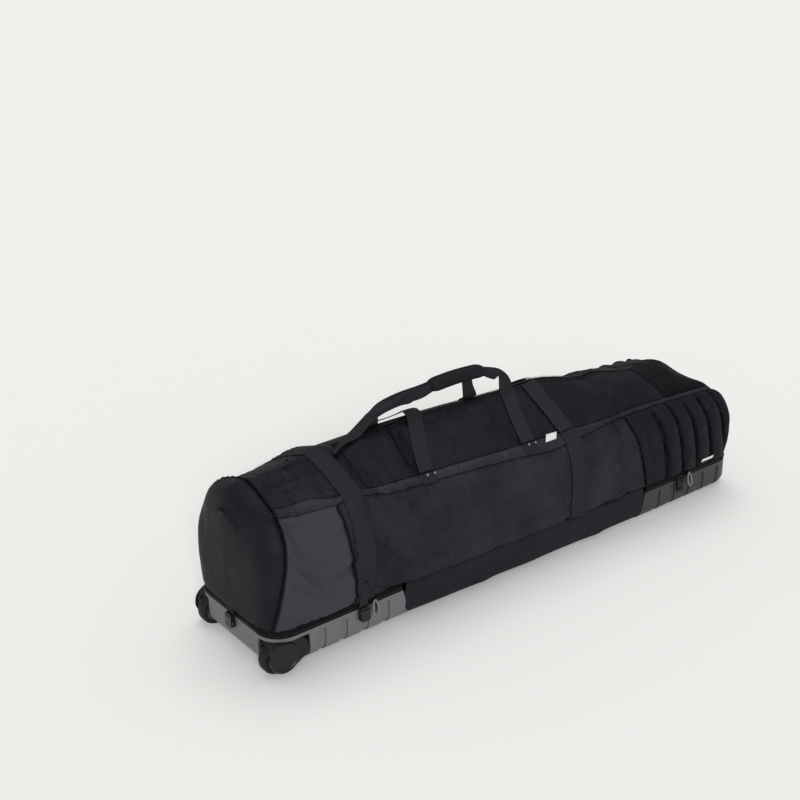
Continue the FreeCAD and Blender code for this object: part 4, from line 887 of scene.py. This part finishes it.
def strapLine(s, slant, uFrom, uTo, count=9):
    # a strap goes straight up the side and slants along the case on the top
    u = np.linspace(uFrom, uTo, count)
    return np.stack((s + slant * np.clip(u - 2.7, 0, 4.8), u), 1)


def sideLine(line, sideName):
    # a line of (s, u) stations on the near side, or its mirror on the far side
    s, u = np.array(line, float).T
    return np.stack((s, u if sideName == "near" else mirrored(u)), 1)


def layStraps():
    settings = strapSettings
    laidStrip("hoopStrap", "case", ["hoop_strap"],
              strapLine(settings["hoop"], settings["hoopSlant"], 0.0, 10.0, 30), settings["hoopWidth"],
              lift=0.0012)
    slanted = settings["second"], settings["secondSlant"]
    for sideName in ("near", "far"):
        near = sideName == "near"
        laidStrip(f"sideStrap_{sideName}", "case", ["side_straps"] if near else [],
                  sideLine(strapLine(*slanted, 0.0, 2.99), sideName), settings["secondWidth"], lift=0.0014)
        laidStrip(f"topStrap_{sideName}", f"flap_{sideName}", [],
                  sideLine(strapLine(*slanted, 3.01, 4.86), sideName), settings["secondWidth"], lift=0.0030)
        for index, middle in enumerate(settings["tabs"]):
            laidStrip(f"handleTab_{sideName}_{index}", "case", ["handle_tabs"] if near and index == 0 else [],
                      sideLine([(middle, 2.62), (middle, 2.8), (middle, 2.985)], sideName),
                      settings["width"], lift=0.0004)


layStraps()
print("straps laid")


# carry handles: a loop of webbing on each flap, wrapped together in one grip

handleSettings = {"width": 0.038, "gripLength": 0.142, "gripRise": 0.404, "gripHeight": 0.026,
                  "gripDepth": 0.017, "gripMiddle": 0.558, "gripInside": 0.0050, "gripOverlap": 0.006,
                  "tuckMargin": 0.003, "slackHalf": 0.0155}
gripShape = {"stops": 31, "turns": 17, "endSize": 0.62, "taper": 0.22, "lip": 0.9, "crown": 0.0035,
             "inside": 0.0004}


def makeHandles():
    settings = handleSettings
    half = settings["width"] / 2
    gripLow = wheelEnd + settings["gripMiddle"] - settings["gripLength"] / 2
    gripHigh = gripLow + settings["gripLength"]
    gripMid = settings["gripRise"] + settings["gripHeight"] / 2
    tuck = settings["gripHeight"] / 2 - settings["tuckMargin"]
    for sideName, sign in (("near", 1), ("far", -1)):
        def onFlap(s, u, lift=0.0025):
            u = u if sign == 1 else mirrored(u)
            middle, before, after = onCover(np.array([s, s - half, s + half]), np.full(3, u),
                                            np.full(3, lift), folds=s > 0.6)
            return middle, (after - before) / 2

        def free(x, y, z, hx, hy, hz):
            return (wheelEnd + x, sign * y, z), (hx, sign * hy, hz)

        intoGrip = sign * -settings["gripInside"]
        wheelJoin = (gripLow + settings["gripOverlap"], intoGrip, gripMid), (0, 0, -tuck)
        headJoin = (gripHigh - settings["gripOverlap"], intoGrip, gripMid), (0, 0, tuck)
        if sign == 1:
            # the near leg has slack: over the ridge, back in a loop and on to the grip
            wheelLeg = [onFlap(0.390, 3.02), onFlap(0.396, 3.30), onFlap(0.406, 3.70), onFlap(0.419, 4.15),
                        onFlap(0.433, 4.60, 0.0045), onFlap(0.441, 4.86, 0.0070),
                        free(0.440, 0.0120, 0.3755, 0.018, 0.004, -0.002),
                        free(0.424, 0.0260, 0.3665, 0.011, 0.012, -0.007),
                        free(0.394, 0.0290, 0.3630, 0.002, 0.014, -0.008),
                        free(0.362, 0.0250, 0.3675, 0, 0.014, -0.007),
                        free(0.340, 0.0130, 0.3790, 0, 0.013, -0.006),
                        free(0.336, 0.0030, 0.3930, 0, 0.013, -0.002),
                        free(0.352, 0.0010, 0.3990, 0, 0.013, -0.003),
                        free(0.392, 0.0010, 0.4035, 0, 0.012, -0.005),
                        free(0.430, 0.0010, 0.4060, 0, 0.005, -0.011),
                        free(0.462, -0.0040, 0.4105, 0, 0, -0.012), wheelJoin]
            headLeg = [onFlap(0.657, 3.02), onFlap(0.660, 3.30), onFlap(0.665, 3.70), onFlap(0.673, 4.15),
                       onFlap(0.683, 4.60, 0.0035), onFlap(0.688, 4.88, 0.0050),
                       free(0.684, -0.0030, 0.3905, 0.014, 0, -0.004),
                       free(0.664, -0.0030, 0.3995, 0.006, 0, 0.011), headJoin]
        else:
            wheelLeg = [onFlap(0.390, 3.02), onFlap(0.387, 3.30), onFlap(0.379, 3.70), onFlap(0.367, 4.15),
                        onFlap(0.352, 4.60, 0.0035), onFlap(0.344, 4.86, 0.0050),
                        free(0.350, -0.0080, 0.3890, 0.013, 0, -0.006),
                        free(0.372, -0.0110, 0.3985, 0.006, 0, -0.013),
                        free(0.415, -0.0110, 0.4065, 0.002, 0, -0.013),
                        free(0.462, -0.0050, 0.4125, 0.001, 0, -0.012), wheelJoin]
            headLeg = [onFlap(0.657, 3.02), onFlap(0.650, 3.30), onFlap(0.635, 3.80), onFlap(0.612, 4.40),
                       onFlap(0.600, 4.86, 0.0050), free(0.592, -0.0050, 0.389, 0.014, 0, 0.001),
                       free(0.590, -0.0050, 0.408, 0.014, 0, 0)]
        body = f"handle_{sideName}"
        for part, leg in (("wheelLeg", wheelLeg), ("headLeg", headLeg)):
            freeStrip(f"{part}_{sideName}", body, [f"handle_{sideName}"] if part == "wheelLeg" else [], leg)
        makeGrip(f"handleGrip_{sideName}", body, sign, gripLow, gripHigh, gripMid)
    # a slack strap joins the grip to the hoop strap
    half = settings["slackHalf"]
    hoop = onCover(np.array([0.300, 0.262, 0.228]), np.array([5.02, 4.80, 4.50]), 0.0040)
    slack = [((gripLow + settings["gripOverlap"], 0, gripMid), (0, 0, -0.011)),
             ((wheelEnd + 0.458, -0.001, 0.4150), (0.004, 0, -0.012)),
             ((wheelEnd + 0.430, -0.002, 0.4095), (0.002, -0.005, -0.012)),
             ((wheelEnd + 0.400, -0.003, 0.4080), (0, -0.013, -0.004)),
             ((wheelEnd + 0.365, -0.003, 0.4050), (-0.002, -0.012, -0.006)),
             ((wheelEnd + 0.335, -0.003, 0.3930), (-0.003, -0.014, -0.003)),
             (tuple(hoop[0]), (0, -half, 0)), (tuple(hoop[1]), (-0.004, -half, 0.003)),
             (tuple(hoop[2]), (-0.006, -half * 0.9, 0.005))]
    strap = freeStrip("slackStrap", None, [], slack)
    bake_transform(strap)


def makeGrip(name, body, sign, low, high, middle):
    # half of a padded wrap: flat inside, round outside, drawn in at its ends
    shape, settings = gripShape, handleSettings
    stops, turns = shape["stops"], shape["turns"]
    points, places = [], []
    for stop in range(stops):
        share = stop / (stops - 1)
        x = low + (high - low) * share
        edge = min(share, 1 - share) * 2
        size = shape["endSize"] + (1 - shape["endSize"]) * min(1, edge / shape["taper"]) ** 0.5
        if stop in (0, stops - 1):
            size *= shape["lip"]
        crown = shape["crown"] * math.sin(math.pi * share)
        for turn in range(turns):
            angle = -math.pi / 2 + math.pi * turn / (turns - 1)
            y = shape["inside"] + settings["gripDepth"] * size * max(math.cos(angle), 0) ** 0.75
            z = middle + crown + settings["gripHeight"] / 2 * size * math.copysign(
                abs(math.sin(angle)) ** 0.8, math.sin(angle))
            points.append((x, -sign * y, z))
            places.append((x, turn * 0.003))
    faces = gridFaces(stops, turns)
    for stop in range(stops - 1):
        here, there = stop * turns, (stop + 1) * turns
        faces.append([here + turns - 1, there + turns - 1, there, here])
    faces.append(list(range(turns)))
    faces.append(list(range((stops - 1) * turns, stops * turns))[::-1])
    grip = linkMesh(name, points, faces)
    setMetreMap(grip, places)
    side = "near" if sign == 1 else "far"
    finishPiece(grip, body, gripCloth, [f"grip_{side}"])


makeHandles()
print("handles made")


# floor of the bay, bands over the tray zips and the straps inside

def trayLine(length, inset, corner=0.050, step=0.006):
    # round one tray: from its mouth along a side, over both corners and back along the other side
    half = halfWidth - inset
    radius = corner - inset
    points = [(along, half) for along in np.arange(length, inset + radius, -step)]
    points += [(inset + radius - radius * math.sin(angle), half - radius + radius * math.cos(angle))
               for angle in np.linspace(0, math.pi / 2, 12)]
    points += [(inset, across) for across in np.arange(half - radius, 0, -step)[1:]]
    return np.array(points + [(along, -across) for along, across in points[::-1]])


def outOfLine(outline):
    # the directions square to a tray's line, away from the tray
    tangent = np.gradient(outline, axis=0)
    tangent /= np.linalg.norm(tangent, axis=1, keepdims=True)
    outward = np.stack((-tangent[:, 1], tangent[:, 0]), 1)
    return -outward if outward[0, 1] < 0 else outward


trayEnds = ((wheelEnd, 1, wheelRim), (wheelEnd + caseLength, -1, headRim))
bandSettings = {"length": 0.302, "inset": 0.0012, "rows": 9, "bulge": 0.0016, "toothDip": 0.0022,
                "dipWidth": 0.1, "below": 0.0015, "above": 0.0020, "thickness": 0.002, "cloth": 0.014}


def makeRimBands():
    # a strip of cloth covers each tray's zip, with the teeth showing between two tapes
    settings = bandSettings
    heights = np.linspace(0, 1, settings["rows"])
    bulge = settings["bulge"] * np.sin(np.pi * heights)
    bulge -= settings["toothDip"] * np.exp(-((heights - 0.55) / settings["dipWidth"]) ** 2)
    tall = coverShape["zipHeight"] + settings["below"] + settings["above"]
    bands = []
    for end, inward, rim in trayEnds:
        outline = trayLine(settings["length"], settings["inset"])
        run = np.concatenate(([0], np.cumsum(np.linalg.norm(np.diff(outline, axis=0), axis=1))))
        faces, backs, places = [], [], []
        for (along, across), (outX, outY), way in zip(outline, outOfLine(outline), run):
            for height, push in zip(heights, bulge):
                z = rim - settings["below"] + height * tall
                x, y = along + outX * push, across + outY * push
                faces.append((end + inward * x, y, z))
                x, y = x - outX * settings["thickness"], y - outY * settings["thickness"]
                backs.append((end + inward * x, y, z))
                places.append((way, height * settings["cloth"]))
        bands.append(closedSheet("band", np.array(faces), np.array(backs), (len(outline), len(heights)),
                                 np.array(places)))
    finishPiece(joined("rimBands", bands), "case", tapeCloth, ["rim_zips"])


floorSettings = {"columns": 110, "rows": 61, "radius": 0.028, "inset": 0.0006, "heights": (0.0135, 0.0018),
                 "endLean": 0.017 / 0.066, "tuck": 0.003, "overlap": 0.012, "wave": 0.0011, "waveFade": 0.06,
                 "deepest": 0.004, "sideBelly": 0.003, "thickness": 0.003, "lowest": 0.0004}


def makeBottom():
    # the soft floor hangs between the trays from the cover's lower edge
    settings, traySeam = floorSettings, coverShape["traySeam"]
    columns, rows = settings["columns"], settings["rows"]
    radius, half = settings["radius"], halfWidth - settings["inset"]
    wheelFloor, headFloor = settings["heights"]
    flat, arc = half - radius, radius * math.pi / 2
    rough = np.random.default_rng(5)
    waves = [[rough.uniform(*span) for span in ((4, 22), (4, 14), (0, 6.28), (0, 6.28))] for _ in range(10)]
    face, back, places = [], [], []
    for column in range(columns):
        share = column / (columns - 1)
        s = traySeam + share * (caseLength - 2 * traySeam)
        floor = wheelFloor + (headFloor - wheelFloor) * share
        top = float(footHeight(np.array([s]))[0]) + settings["tuck"]
        total = top - floor - radius + arc + flat
        for row in range(rows):
            turn = row / (rows - 1) * 2 - 1
            way = abs(turn) * total
            if way < flat:
                y, z, out = way, floor, (0, -1)
            elif way < flat + arc:
                angle = (way - flat) / radius
                y, z = flat + radius * math.sin(angle), floor + radius - radius * math.cos(angle)
                out = (math.sin(angle), -math.cos(angle))
            else:
                y, z, out = half, floor + radius + way - (flat + arc), (1, 0)
            side = math.copysign(1, turn)
            held = (z - headFloor) * settings["endLean"]
            x = wheelEnd + s + (0.5 - share) * 2 * (held - settings["overlap"])
            bump = sum(math.sin(a * s * 3 + b * turn * 2 + c) * math.cos(b * turn + d)
                       for a, b, c, d in waves)
            edge = min(share, 1 - share, (1 - abs(turn)) * 3)
            push = settings["wave"] * bump * min(1, edge / settings["waveFade"])
            push = max(push * (0.25 if out[1] < -0.7 else 1), -settings["deepest"])
            if out[0] > 0.5:
                push += settings["sideBelly"] * min(1, edge / 0.2)
            inside = push - settings["thickness"]
            face.append((x, side * (y + out[0] * push), max(z + out[1] * push * 0.5, settings["lowest"])))
            back.append((x, side * (y + out[0] * inside),
                         max(z - out[1] * settings["thickness"], settings["thickness"])))
            places.append((s, turn * total))
    piece = closedSheet("bayFloor", np.array(face), np.array(back), (columns, rows), np.array(places))
    finishPiece(piece, "case", floorCloth, ["bottom_panel"])


makeRimBands()
makeBottom()
print("floor and bands made")


# small parts: straps of the buckles, loops on the zips, labels, piping, teeth and stitches

def boxStrip(name, body, nodes, half, path):
    # a short strip along a path of places; half its width is one vector
    stations = [(tuple(place), tuple(half)) for place in path]
    return freeStrip(name, body, nodes, stations)


buckleStrap = {"half": 0.010, "tabGap": 0.0042, "closingGap": 0.0022, "tabLift": 0.0052, "foot": 0.05,
               "sewn": 0.55, "endTabGap": 0.0030, "endClosingGap": 0.0020, "lean": 0.0006}
innerStrap = {"places": (0.480, 0.820), "half": 0.019, "inset": 0.0062, "radius": 0.026, "below": 0.006}


def makeBuckleStraps():
    settings = buckleStrap
    alongHalf, acrossHalf = (settings["half"], 0, 0), (0, settings["half"], 0)
    sewn = np.linspace(settings["foot"], settings["sewn"], 5)
    for sideName, sign in (("near", -1), ("far", 1)):
        near = sideName == "near"
        low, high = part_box(f"female_buckle_{sideName}")
        x, y = (low.x + high.x) / 2, sign * (halfWidth + settings["tabGap"])
        top = onCover(np.full(5, x - wheelEnd), sewn if near else mirrored(sewn), settings["tabLift"])
        boxStrip(f"buckleTab_{sideName}", "case", ["buckle_tabs"] if near else [], alongHalf,
                 [(x, y, high.z - 0.0070), (x, y, high.z + 0.001), *top])
        low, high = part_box(f"male_buckle_{sideName}")
        x, y = (low.x + high.x) / 2, sign * (halfWidth + settings["closingGap"])
        boxStrip(f"closingStrap_{sideName}", "case", ["closing_straps"] if near else [], alongHalf,
                 [(x, y, high.z - 0.004), (x, y, high.z + 0.002),
                  (x, y - sign * settings["lean"], high.z + 0.007)])
    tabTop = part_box("buckle_tabs")[1].z
    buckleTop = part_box("female_buckle_end")[1].z
    x = wheelEnd - settings["endTabGap"]
    boxStrip("buckleTab_end", "case", [], acrossHalf,
             [(x, 0, buckleTop - 0.006), (x, 0, buckleTop + 0.008), (x, 0, tabTop - 0.020),
              (x + settings["lean"], 0, tabTop)])
    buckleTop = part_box("male_buckle_end")[1].z
    x = wheelEnd + caseLength + settings["endClosingGap"]
    boxStrip("closingStrap_end", "case", [], acrossHalf,
             [(x, 0, buckleTop - 0.004), (x, 0, buckleTop + 0.008),
              (x - settings["lean"], 0, buckleTop + 0.022)])


def makeInnerStraps():
    # each lies across the floor and up both walls of the bay
    radius = innerStrap["radius"]
    half = halfWidth - innerStrap["inset"]
    wheelFloor, headFloor = floorSettings["heights"]
    for index, s in enumerate(innerStrap["places"]):
        share = (s - coverShape["traySeam"]) / (caseLength - 2 * coverShape["traySeam"])
        floor = wheelFloor + (headFloor - wheelFloor) * share + innerStrap["inset"]
        top = float(footHeight(np.array([s]))[0]) - innerStrap["below"]
        x = wheelEnd + s
        path = [(x, -half, top), (x, -half, floor + radius)]
        path += [(x, -half + radius - radius * math.cos(a), floor + radius - radius * math.sin(a))
                 for a in (0.5, 1.05)]
        path += [(x, y, floor) for y in (-half + radius, 0)]
        path += [(x, -y, z) for x, y, z in path[-2::-1]]
        boxStrip(f"innerStrap_{index}", "case", ["inner_straps"] if index == 0 else [],
                 (innerStrap["half"], 0, 0), path)


def tube(name, body, nodes, material, path, radius, sides=8, closed=False):
    path = np.asarray(path, float)
    tangent = (np.roll(path, -1, 0) - np.roll(path, 1, 0)) if closed else np.gradient(path, axis=0)
    tangent /= np.linalg.norm(tangent, axis=1, keepdims=True)
    first = np.cross(tangent, (0.31, 0.55, 0.77))
    first /= np.linalg.norm(first, axis=1, keepdims=True)
    second = np.cross(tangent, first)
    angle = np.linspace(0, 2 * math.pi, sides, endpoint=False)
    rings = (path[:, None] + radius * (np.cos(angle)[None, :, None] * first[:, None]
                                       + np.sin(angle)[None, :, None] * second[:, None]))
    count = len(path)
    faces = []
    for here in range(count if closed else count - 1):
        there = (here + 1) % count
        for turn in range(sides):
            after = (turn + 1) % sides
            faces.append([here * sides + turn, here * sides + after,
                          there * sides + after, there * sides + turn])
    if not closed:
        faces += [list(range(sides))[::-1], list(range((count - 1) * sides, count * sides))]
    run = np.concatenate(([0], np.cumsum(np.linalg.norm(np.diff(path, axis=0), axis=1))))
    piece = linkMesh(name, rings.reshape(-1, 3), faces)
    setMetreMap(piece, np.stack((np.repeat(run, sides), np.tile(angle * radius, count)), 1))
    return finishPiece(piece, body, material, nodes)


def makeLoops():
    # a ribbed loop hangs from each zip puller
    turns = np.linspace(0, 2 * math.pi, 28, endpoint=False)
    for tray in ("wheel", "head"):
        low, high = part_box(f"rim_pull_{tray}")
        x, y = (low.x + high.x) / 2, low.y - 0.0004
        rest = high.z - 0.001
        path = [(x + 0.0062 * math.sin(turn) * (1 - 0.25 * math.cos(turn)), y - 0.0030 * (1 - math.cos(turn)),
                 rest - 0.0110 + 0.0150 * math.cos(turn)) for turn in turns]
        tube(f"pullLoop_{tray}", f"puller_{tray}", [], greyWebbing, path, 0.0021, closed=True)


# each label: where it lies along and round the cover, and how far it stands off
labelSettings = (("sideLabel", (0.698, 0.729), (2.81, 3.06), 0.0036),
                 ("padLabel", (1.166, 1.206), (0.26, 0.35), 0.0130))


def makeLabels():
    # sewn labels with nothing on them
    columns, rows = 14, 6
    for name, sRange, uRange, rise in labelSettings:
        s, u = np.meshgrid(np.linspace(*sRange, columns), np.linspace(*uRange, rows), indexing="ij")
        s = s + (u - uRange[0]) * 0.04
        s, u = s.ravel(), u.ravel()
        # stretched flat between its corners
        corners = onCover(s[[0, rows - 1, -rows, -1]], u[[0, rows - 1, -rows, -1]], rise)
        across, up = (part.ravel()[:, None] for part in np.meshgrid(
            np.linspace(0, 1, columns), np.linspace(0, 1, rows), indexing="ij"))
        back = ((corners[0] * (1 - up) + corners[1] * up) * (1 - across)
                + (corners[2] * (1 - up) + corners[3] * up) * across)
        outward = np.cross(corners[2] - corners[0], corners[1] - corners[0])
        outward /= np.linalg.norm(outward)
        places = np.stack((s, u * metresPerU), 1)
        piece = closedSheet(name, back + outward * 0.0006, back, (columns, rows), places)
        finishPiece(piece, "case", labelCloth)


pipingRadius = {"arch": 0.0019, "side": 0.0017, "head": 0.0015}


def makePiping():
    def pipe(name, s, u, lift, radius):
        tube(name, "case", [], tapeCloth, onCover(s, u, lift), radius)

    turn = np.linspace(0, farRim, 260)
    pipe("archPiping", leant(np.full(260, seams["arch"]), turn), turn, 0.0006, pipingRadius["arch"])
    for sideName, low, high in (("near", 0.06, 2.86), ("far", mirrored(2.86), mirrored(0.06))):
        side = np.linspace(low, high, 110)
        pipe(f"sidePiping_{sideName}", leant(np.full(110, seams["side"] - 0.001), side), side, 0.0006,
             pipingRadius["side"])
    pipe("headPiping", np.full(260, seams["padEnd"]), turn, 0.0004, pipingRadius["head"])


def repeatGroup():
    # sets a small block on every place, turned along its "along" and "out" directions
    group = bpy.data.node_groups.new("repeatBlocks", "GeometryNodeTree")
    group.interface.new_socket("Geometry", in_out="INPUT", socket_type="NodeSocketGeometry")
    group.interface.new_socket("Block Size", in_out="INPUT", socket_type="NodeSocketVector")
    group.interface.new_socket("Material", in_out="INPUT", socket_type="NodeSocketMaterial")
    group.interface.new_socket("Geometry", in_out="OUTPUT", socket_type="NodeSocketGeometry")
    nodes, links = group.nodes, group.links
    start, end = nodes.new("NodeGroupInput"), nodes.new("NodeGroupOutput")
    block = nodes.new("GeometryNodeMeshCube")
    links.new(start.outputs["Block Size"], block.inputs["Size"])
    scatter = nodes.new("GeometryNodeInstanceOnPoints")
    links.new(start.outputs["Geometry"], scatter.inputs["Points"])
    links.new(block.outputs["Mesh"], scatter.inputs["Instance"])
    turned = None
    for word, axis, pivot in (("along", "X", "AUTO"), ("out", "Z", "X")):
        attribute = nodes.new("GeometryNodeInputNamedAttribute")
        attribute.data_type = "FLOAT_VECTOR"
        attribute.inputs["Name"].default_value = word
        align = nodes.new("FunctionNodeAlignRotationToVector")
        align.axis = axis
        align.pivot_axis = pivot
        links.new(attribute.outputs["Attribute"], align.inputs["Vector"])
        if turned is not None:
            links.new(turned, align.inputs["Rotation"])
        turned = align.outputs["Rotation"]
    links.new(turned, scatter.inputs["Rotation"])
    real = nodes.new("GeometryNodeRealizeInstances")
    links.new(scatter.outputs["Instances"], real.inputs["Geometry"])
    paint = nodes.new("GeometryNodeSetMaterial")
    links.new(real.outputs["Geometry"], paint.inputs["Geometry"])
    links.new(start.outputs["Material"], paint.inputs["Material"])
    links.new(paint.outputs["Geometry"], end.inputs["Geometry"])
    return group


blockGroup = repeatGroup()


def repeatBlocks(name, body, material, rows, size):
    # rows are (places, outward directions); each row runs along its places
    places = np.concatenate([row[0] for row in rows])
    along = np.concatenate([np.gradient(row[0], axis=0) for row in rows])
    out = np.concatenate([row[1] for row in rows])
    mesh = bpy.data.meshes.new(name)
    mesh.from_pydata(places.tolist(), [], [])
    for word, directions in (("along", along), ("out", out)):
        layer = mesh.attributes.new(word, "FLOAT_VECTOR", "POINT")
        layer.data.foreach_set("vector", directions.astype(np.float32).ravel())
    piece = bpy.data.objects.new(name, mesh)
    bpy.context.scene.collection.objects.link(piece)
    modifier = piece.modifiers.new("repeat", "NODES")
    modifier.node_group = blockGroup
    sockets = {item.name: item.identifier for item in blockGroup.interface.items_tree
               if item.in_out == "INPUT"}
    modifier[sockets["Block Size"]] = size
    modifier[sockets["Material"]] = material
    made = piece.evaluated_get(bpy.context.evaluated_depsgraph_get())
    finished = bpy.data.meshes.new_from_object(made)
    piece.modifiers.clear()
    piece.data = finished
    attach(piece, body)
    return piece


def rowOnCover(sLine, uLine, spacing, lift):
    # evenly spaced places along a line on the cover, with the directions out of it
    s, u = evenPath(np.stack((sLine, uLine), 1), spacing)[1].T
    out = sampleGrid(coverNormals, s, u)
    return onCover(s, u, lift), out


teethSettings = {"spacing": 0.0030, "size": (0.0015, 0.0030, 0.0013), "fromEnds": 0.006, "lift": 0.0016,
                 "rimSpacing": 0.0036, "rimSize": (0.0016, 0.0018, 0.0012), "rimLength": 0.300,
                 "rimInset": -0.0002, "rimHeights": (0.0050, 0.0072)}


def makeTeeth():
    settings = teethSettings
    s = np.linspace(coverShape["flapStart"] + settings["fromEnds"],
                    coverShape["flapEnd"] - settings["fromEnds"], 40)
    for sideName, u in (("near", 4.978), ("far", 5.022)):
        row = rowOnCover(s, np.full(40, u), settings["spacing"], settings["lift"])
        repeatBlocks(f"zipTeeth_{sideName}", f"flap_{sideName}", toothPlastic, [row],
                     settings["size"])
    rows = []
    for end, inward, rim in trayEnds:
        outline = trayLine(settings["rimLength"], settings["rimInset"], step=settings["rimSpacing"])
        outward = outOfLine(outline)
        x, y, ones = end + inward * outline[:, 0], outline[:, 1], np.ones(len(outline))
        out = np.stack((inward * outward[:, 0], outward[:, 1], 0 * ones), 1)
        rows += [(np.stack((x, y, ones * (rim + height)), 1), out) for height in settings["rimHeights"]]
    repeatBlocks("rimTeeth", "case", toothPlastic, rows, settings["rimSize"])


stitchSettings = {"spacing": 0.0062, "size": (0.0036, 0.0007, 0.0006), "inset": 0.004, "strapInset": 0.019}


def sewStitches():
    settings = stitchSettings
    rows = {"case": [], "flap_near": [], "flap_far": []}

    def sew(body, s, u, lift, count=None):
        # a number for s holds all along the line of u
        s = np.full(count, s) if count else np.asarray(s, float)
        rows[body].append(rowOnCover(s, np.asarray(u, float), settings["spacing"], lift))

    inset = settings["inset"] / metresPerU
    count, upCount = 50, 30
    wide = np.linspace(seams["arch"] + 0.012, seams["padEnd"] - 0.006, count)
    flapLine = np.linspace(coverShape["flapStart"] + 0.008, coverShape["flapEnd"] - 0.008, count)
    for sideName, turn in (("near", lambda u: u), ("far", mirrored)):
        for offset in (inset, 2.4 * inset):
            sew("case", wide, turn(yokeEdge(wide) + offset), 0.0014)
        sew(f"flap_{sideName}", flapLine, turn(np.full(count, 4.89 - inset)), 0.0030)
        sew(f"flap_{sideName}", flapLine, turn(np.full(count, 3.005 + inset)), 0.0006)
        up = np.linspace(0.08, 2.70, upCount)
        for seam, shift in (("side", 0.005), ("side", -0.005), ("pad", -0.005)):
            sew("case", leant(np.full(upCount, seams[seam] + shift), turn(up)), turn(up), 0.0006)
        for edge in (-settings["strapInset"], settings["strapInset"]):
            sew("case", strapSettings["hoop"] + edge, turn(np.linspace(0.1, 2.65, 30)), 0.0030, 30)
            sew("case", strapSettings["second"] + edge, turn(np.linspace(0.1, 2.4, 20)), 0.0032, 20)
        for middle in strapSettings["tabs"]:
            corners = [(-0.015, 2.66), (0.015, 2.66), (0.015, 2.94), (-0.015, 2.94), (-0.015, 2.66)]
            for (s0, u0), (s1, u1) in zip(corners[:-1], corners[1:]):
                sew("case", np.linspace(middle + s0, middle + s1, 6), turn(np.linspace(u0, u1, 6)), 0.0022)
    for body, lines in rows.items():
        repeatBlocks(f"stitches_{body}", body, threadMaterial, lines, settings["size"])


makeBuckleStraps()
makeInnerStraps()
makeLoops()
makeLabels()
makePiping()
makeTeeth()
sewStitches()
print("small parts made")
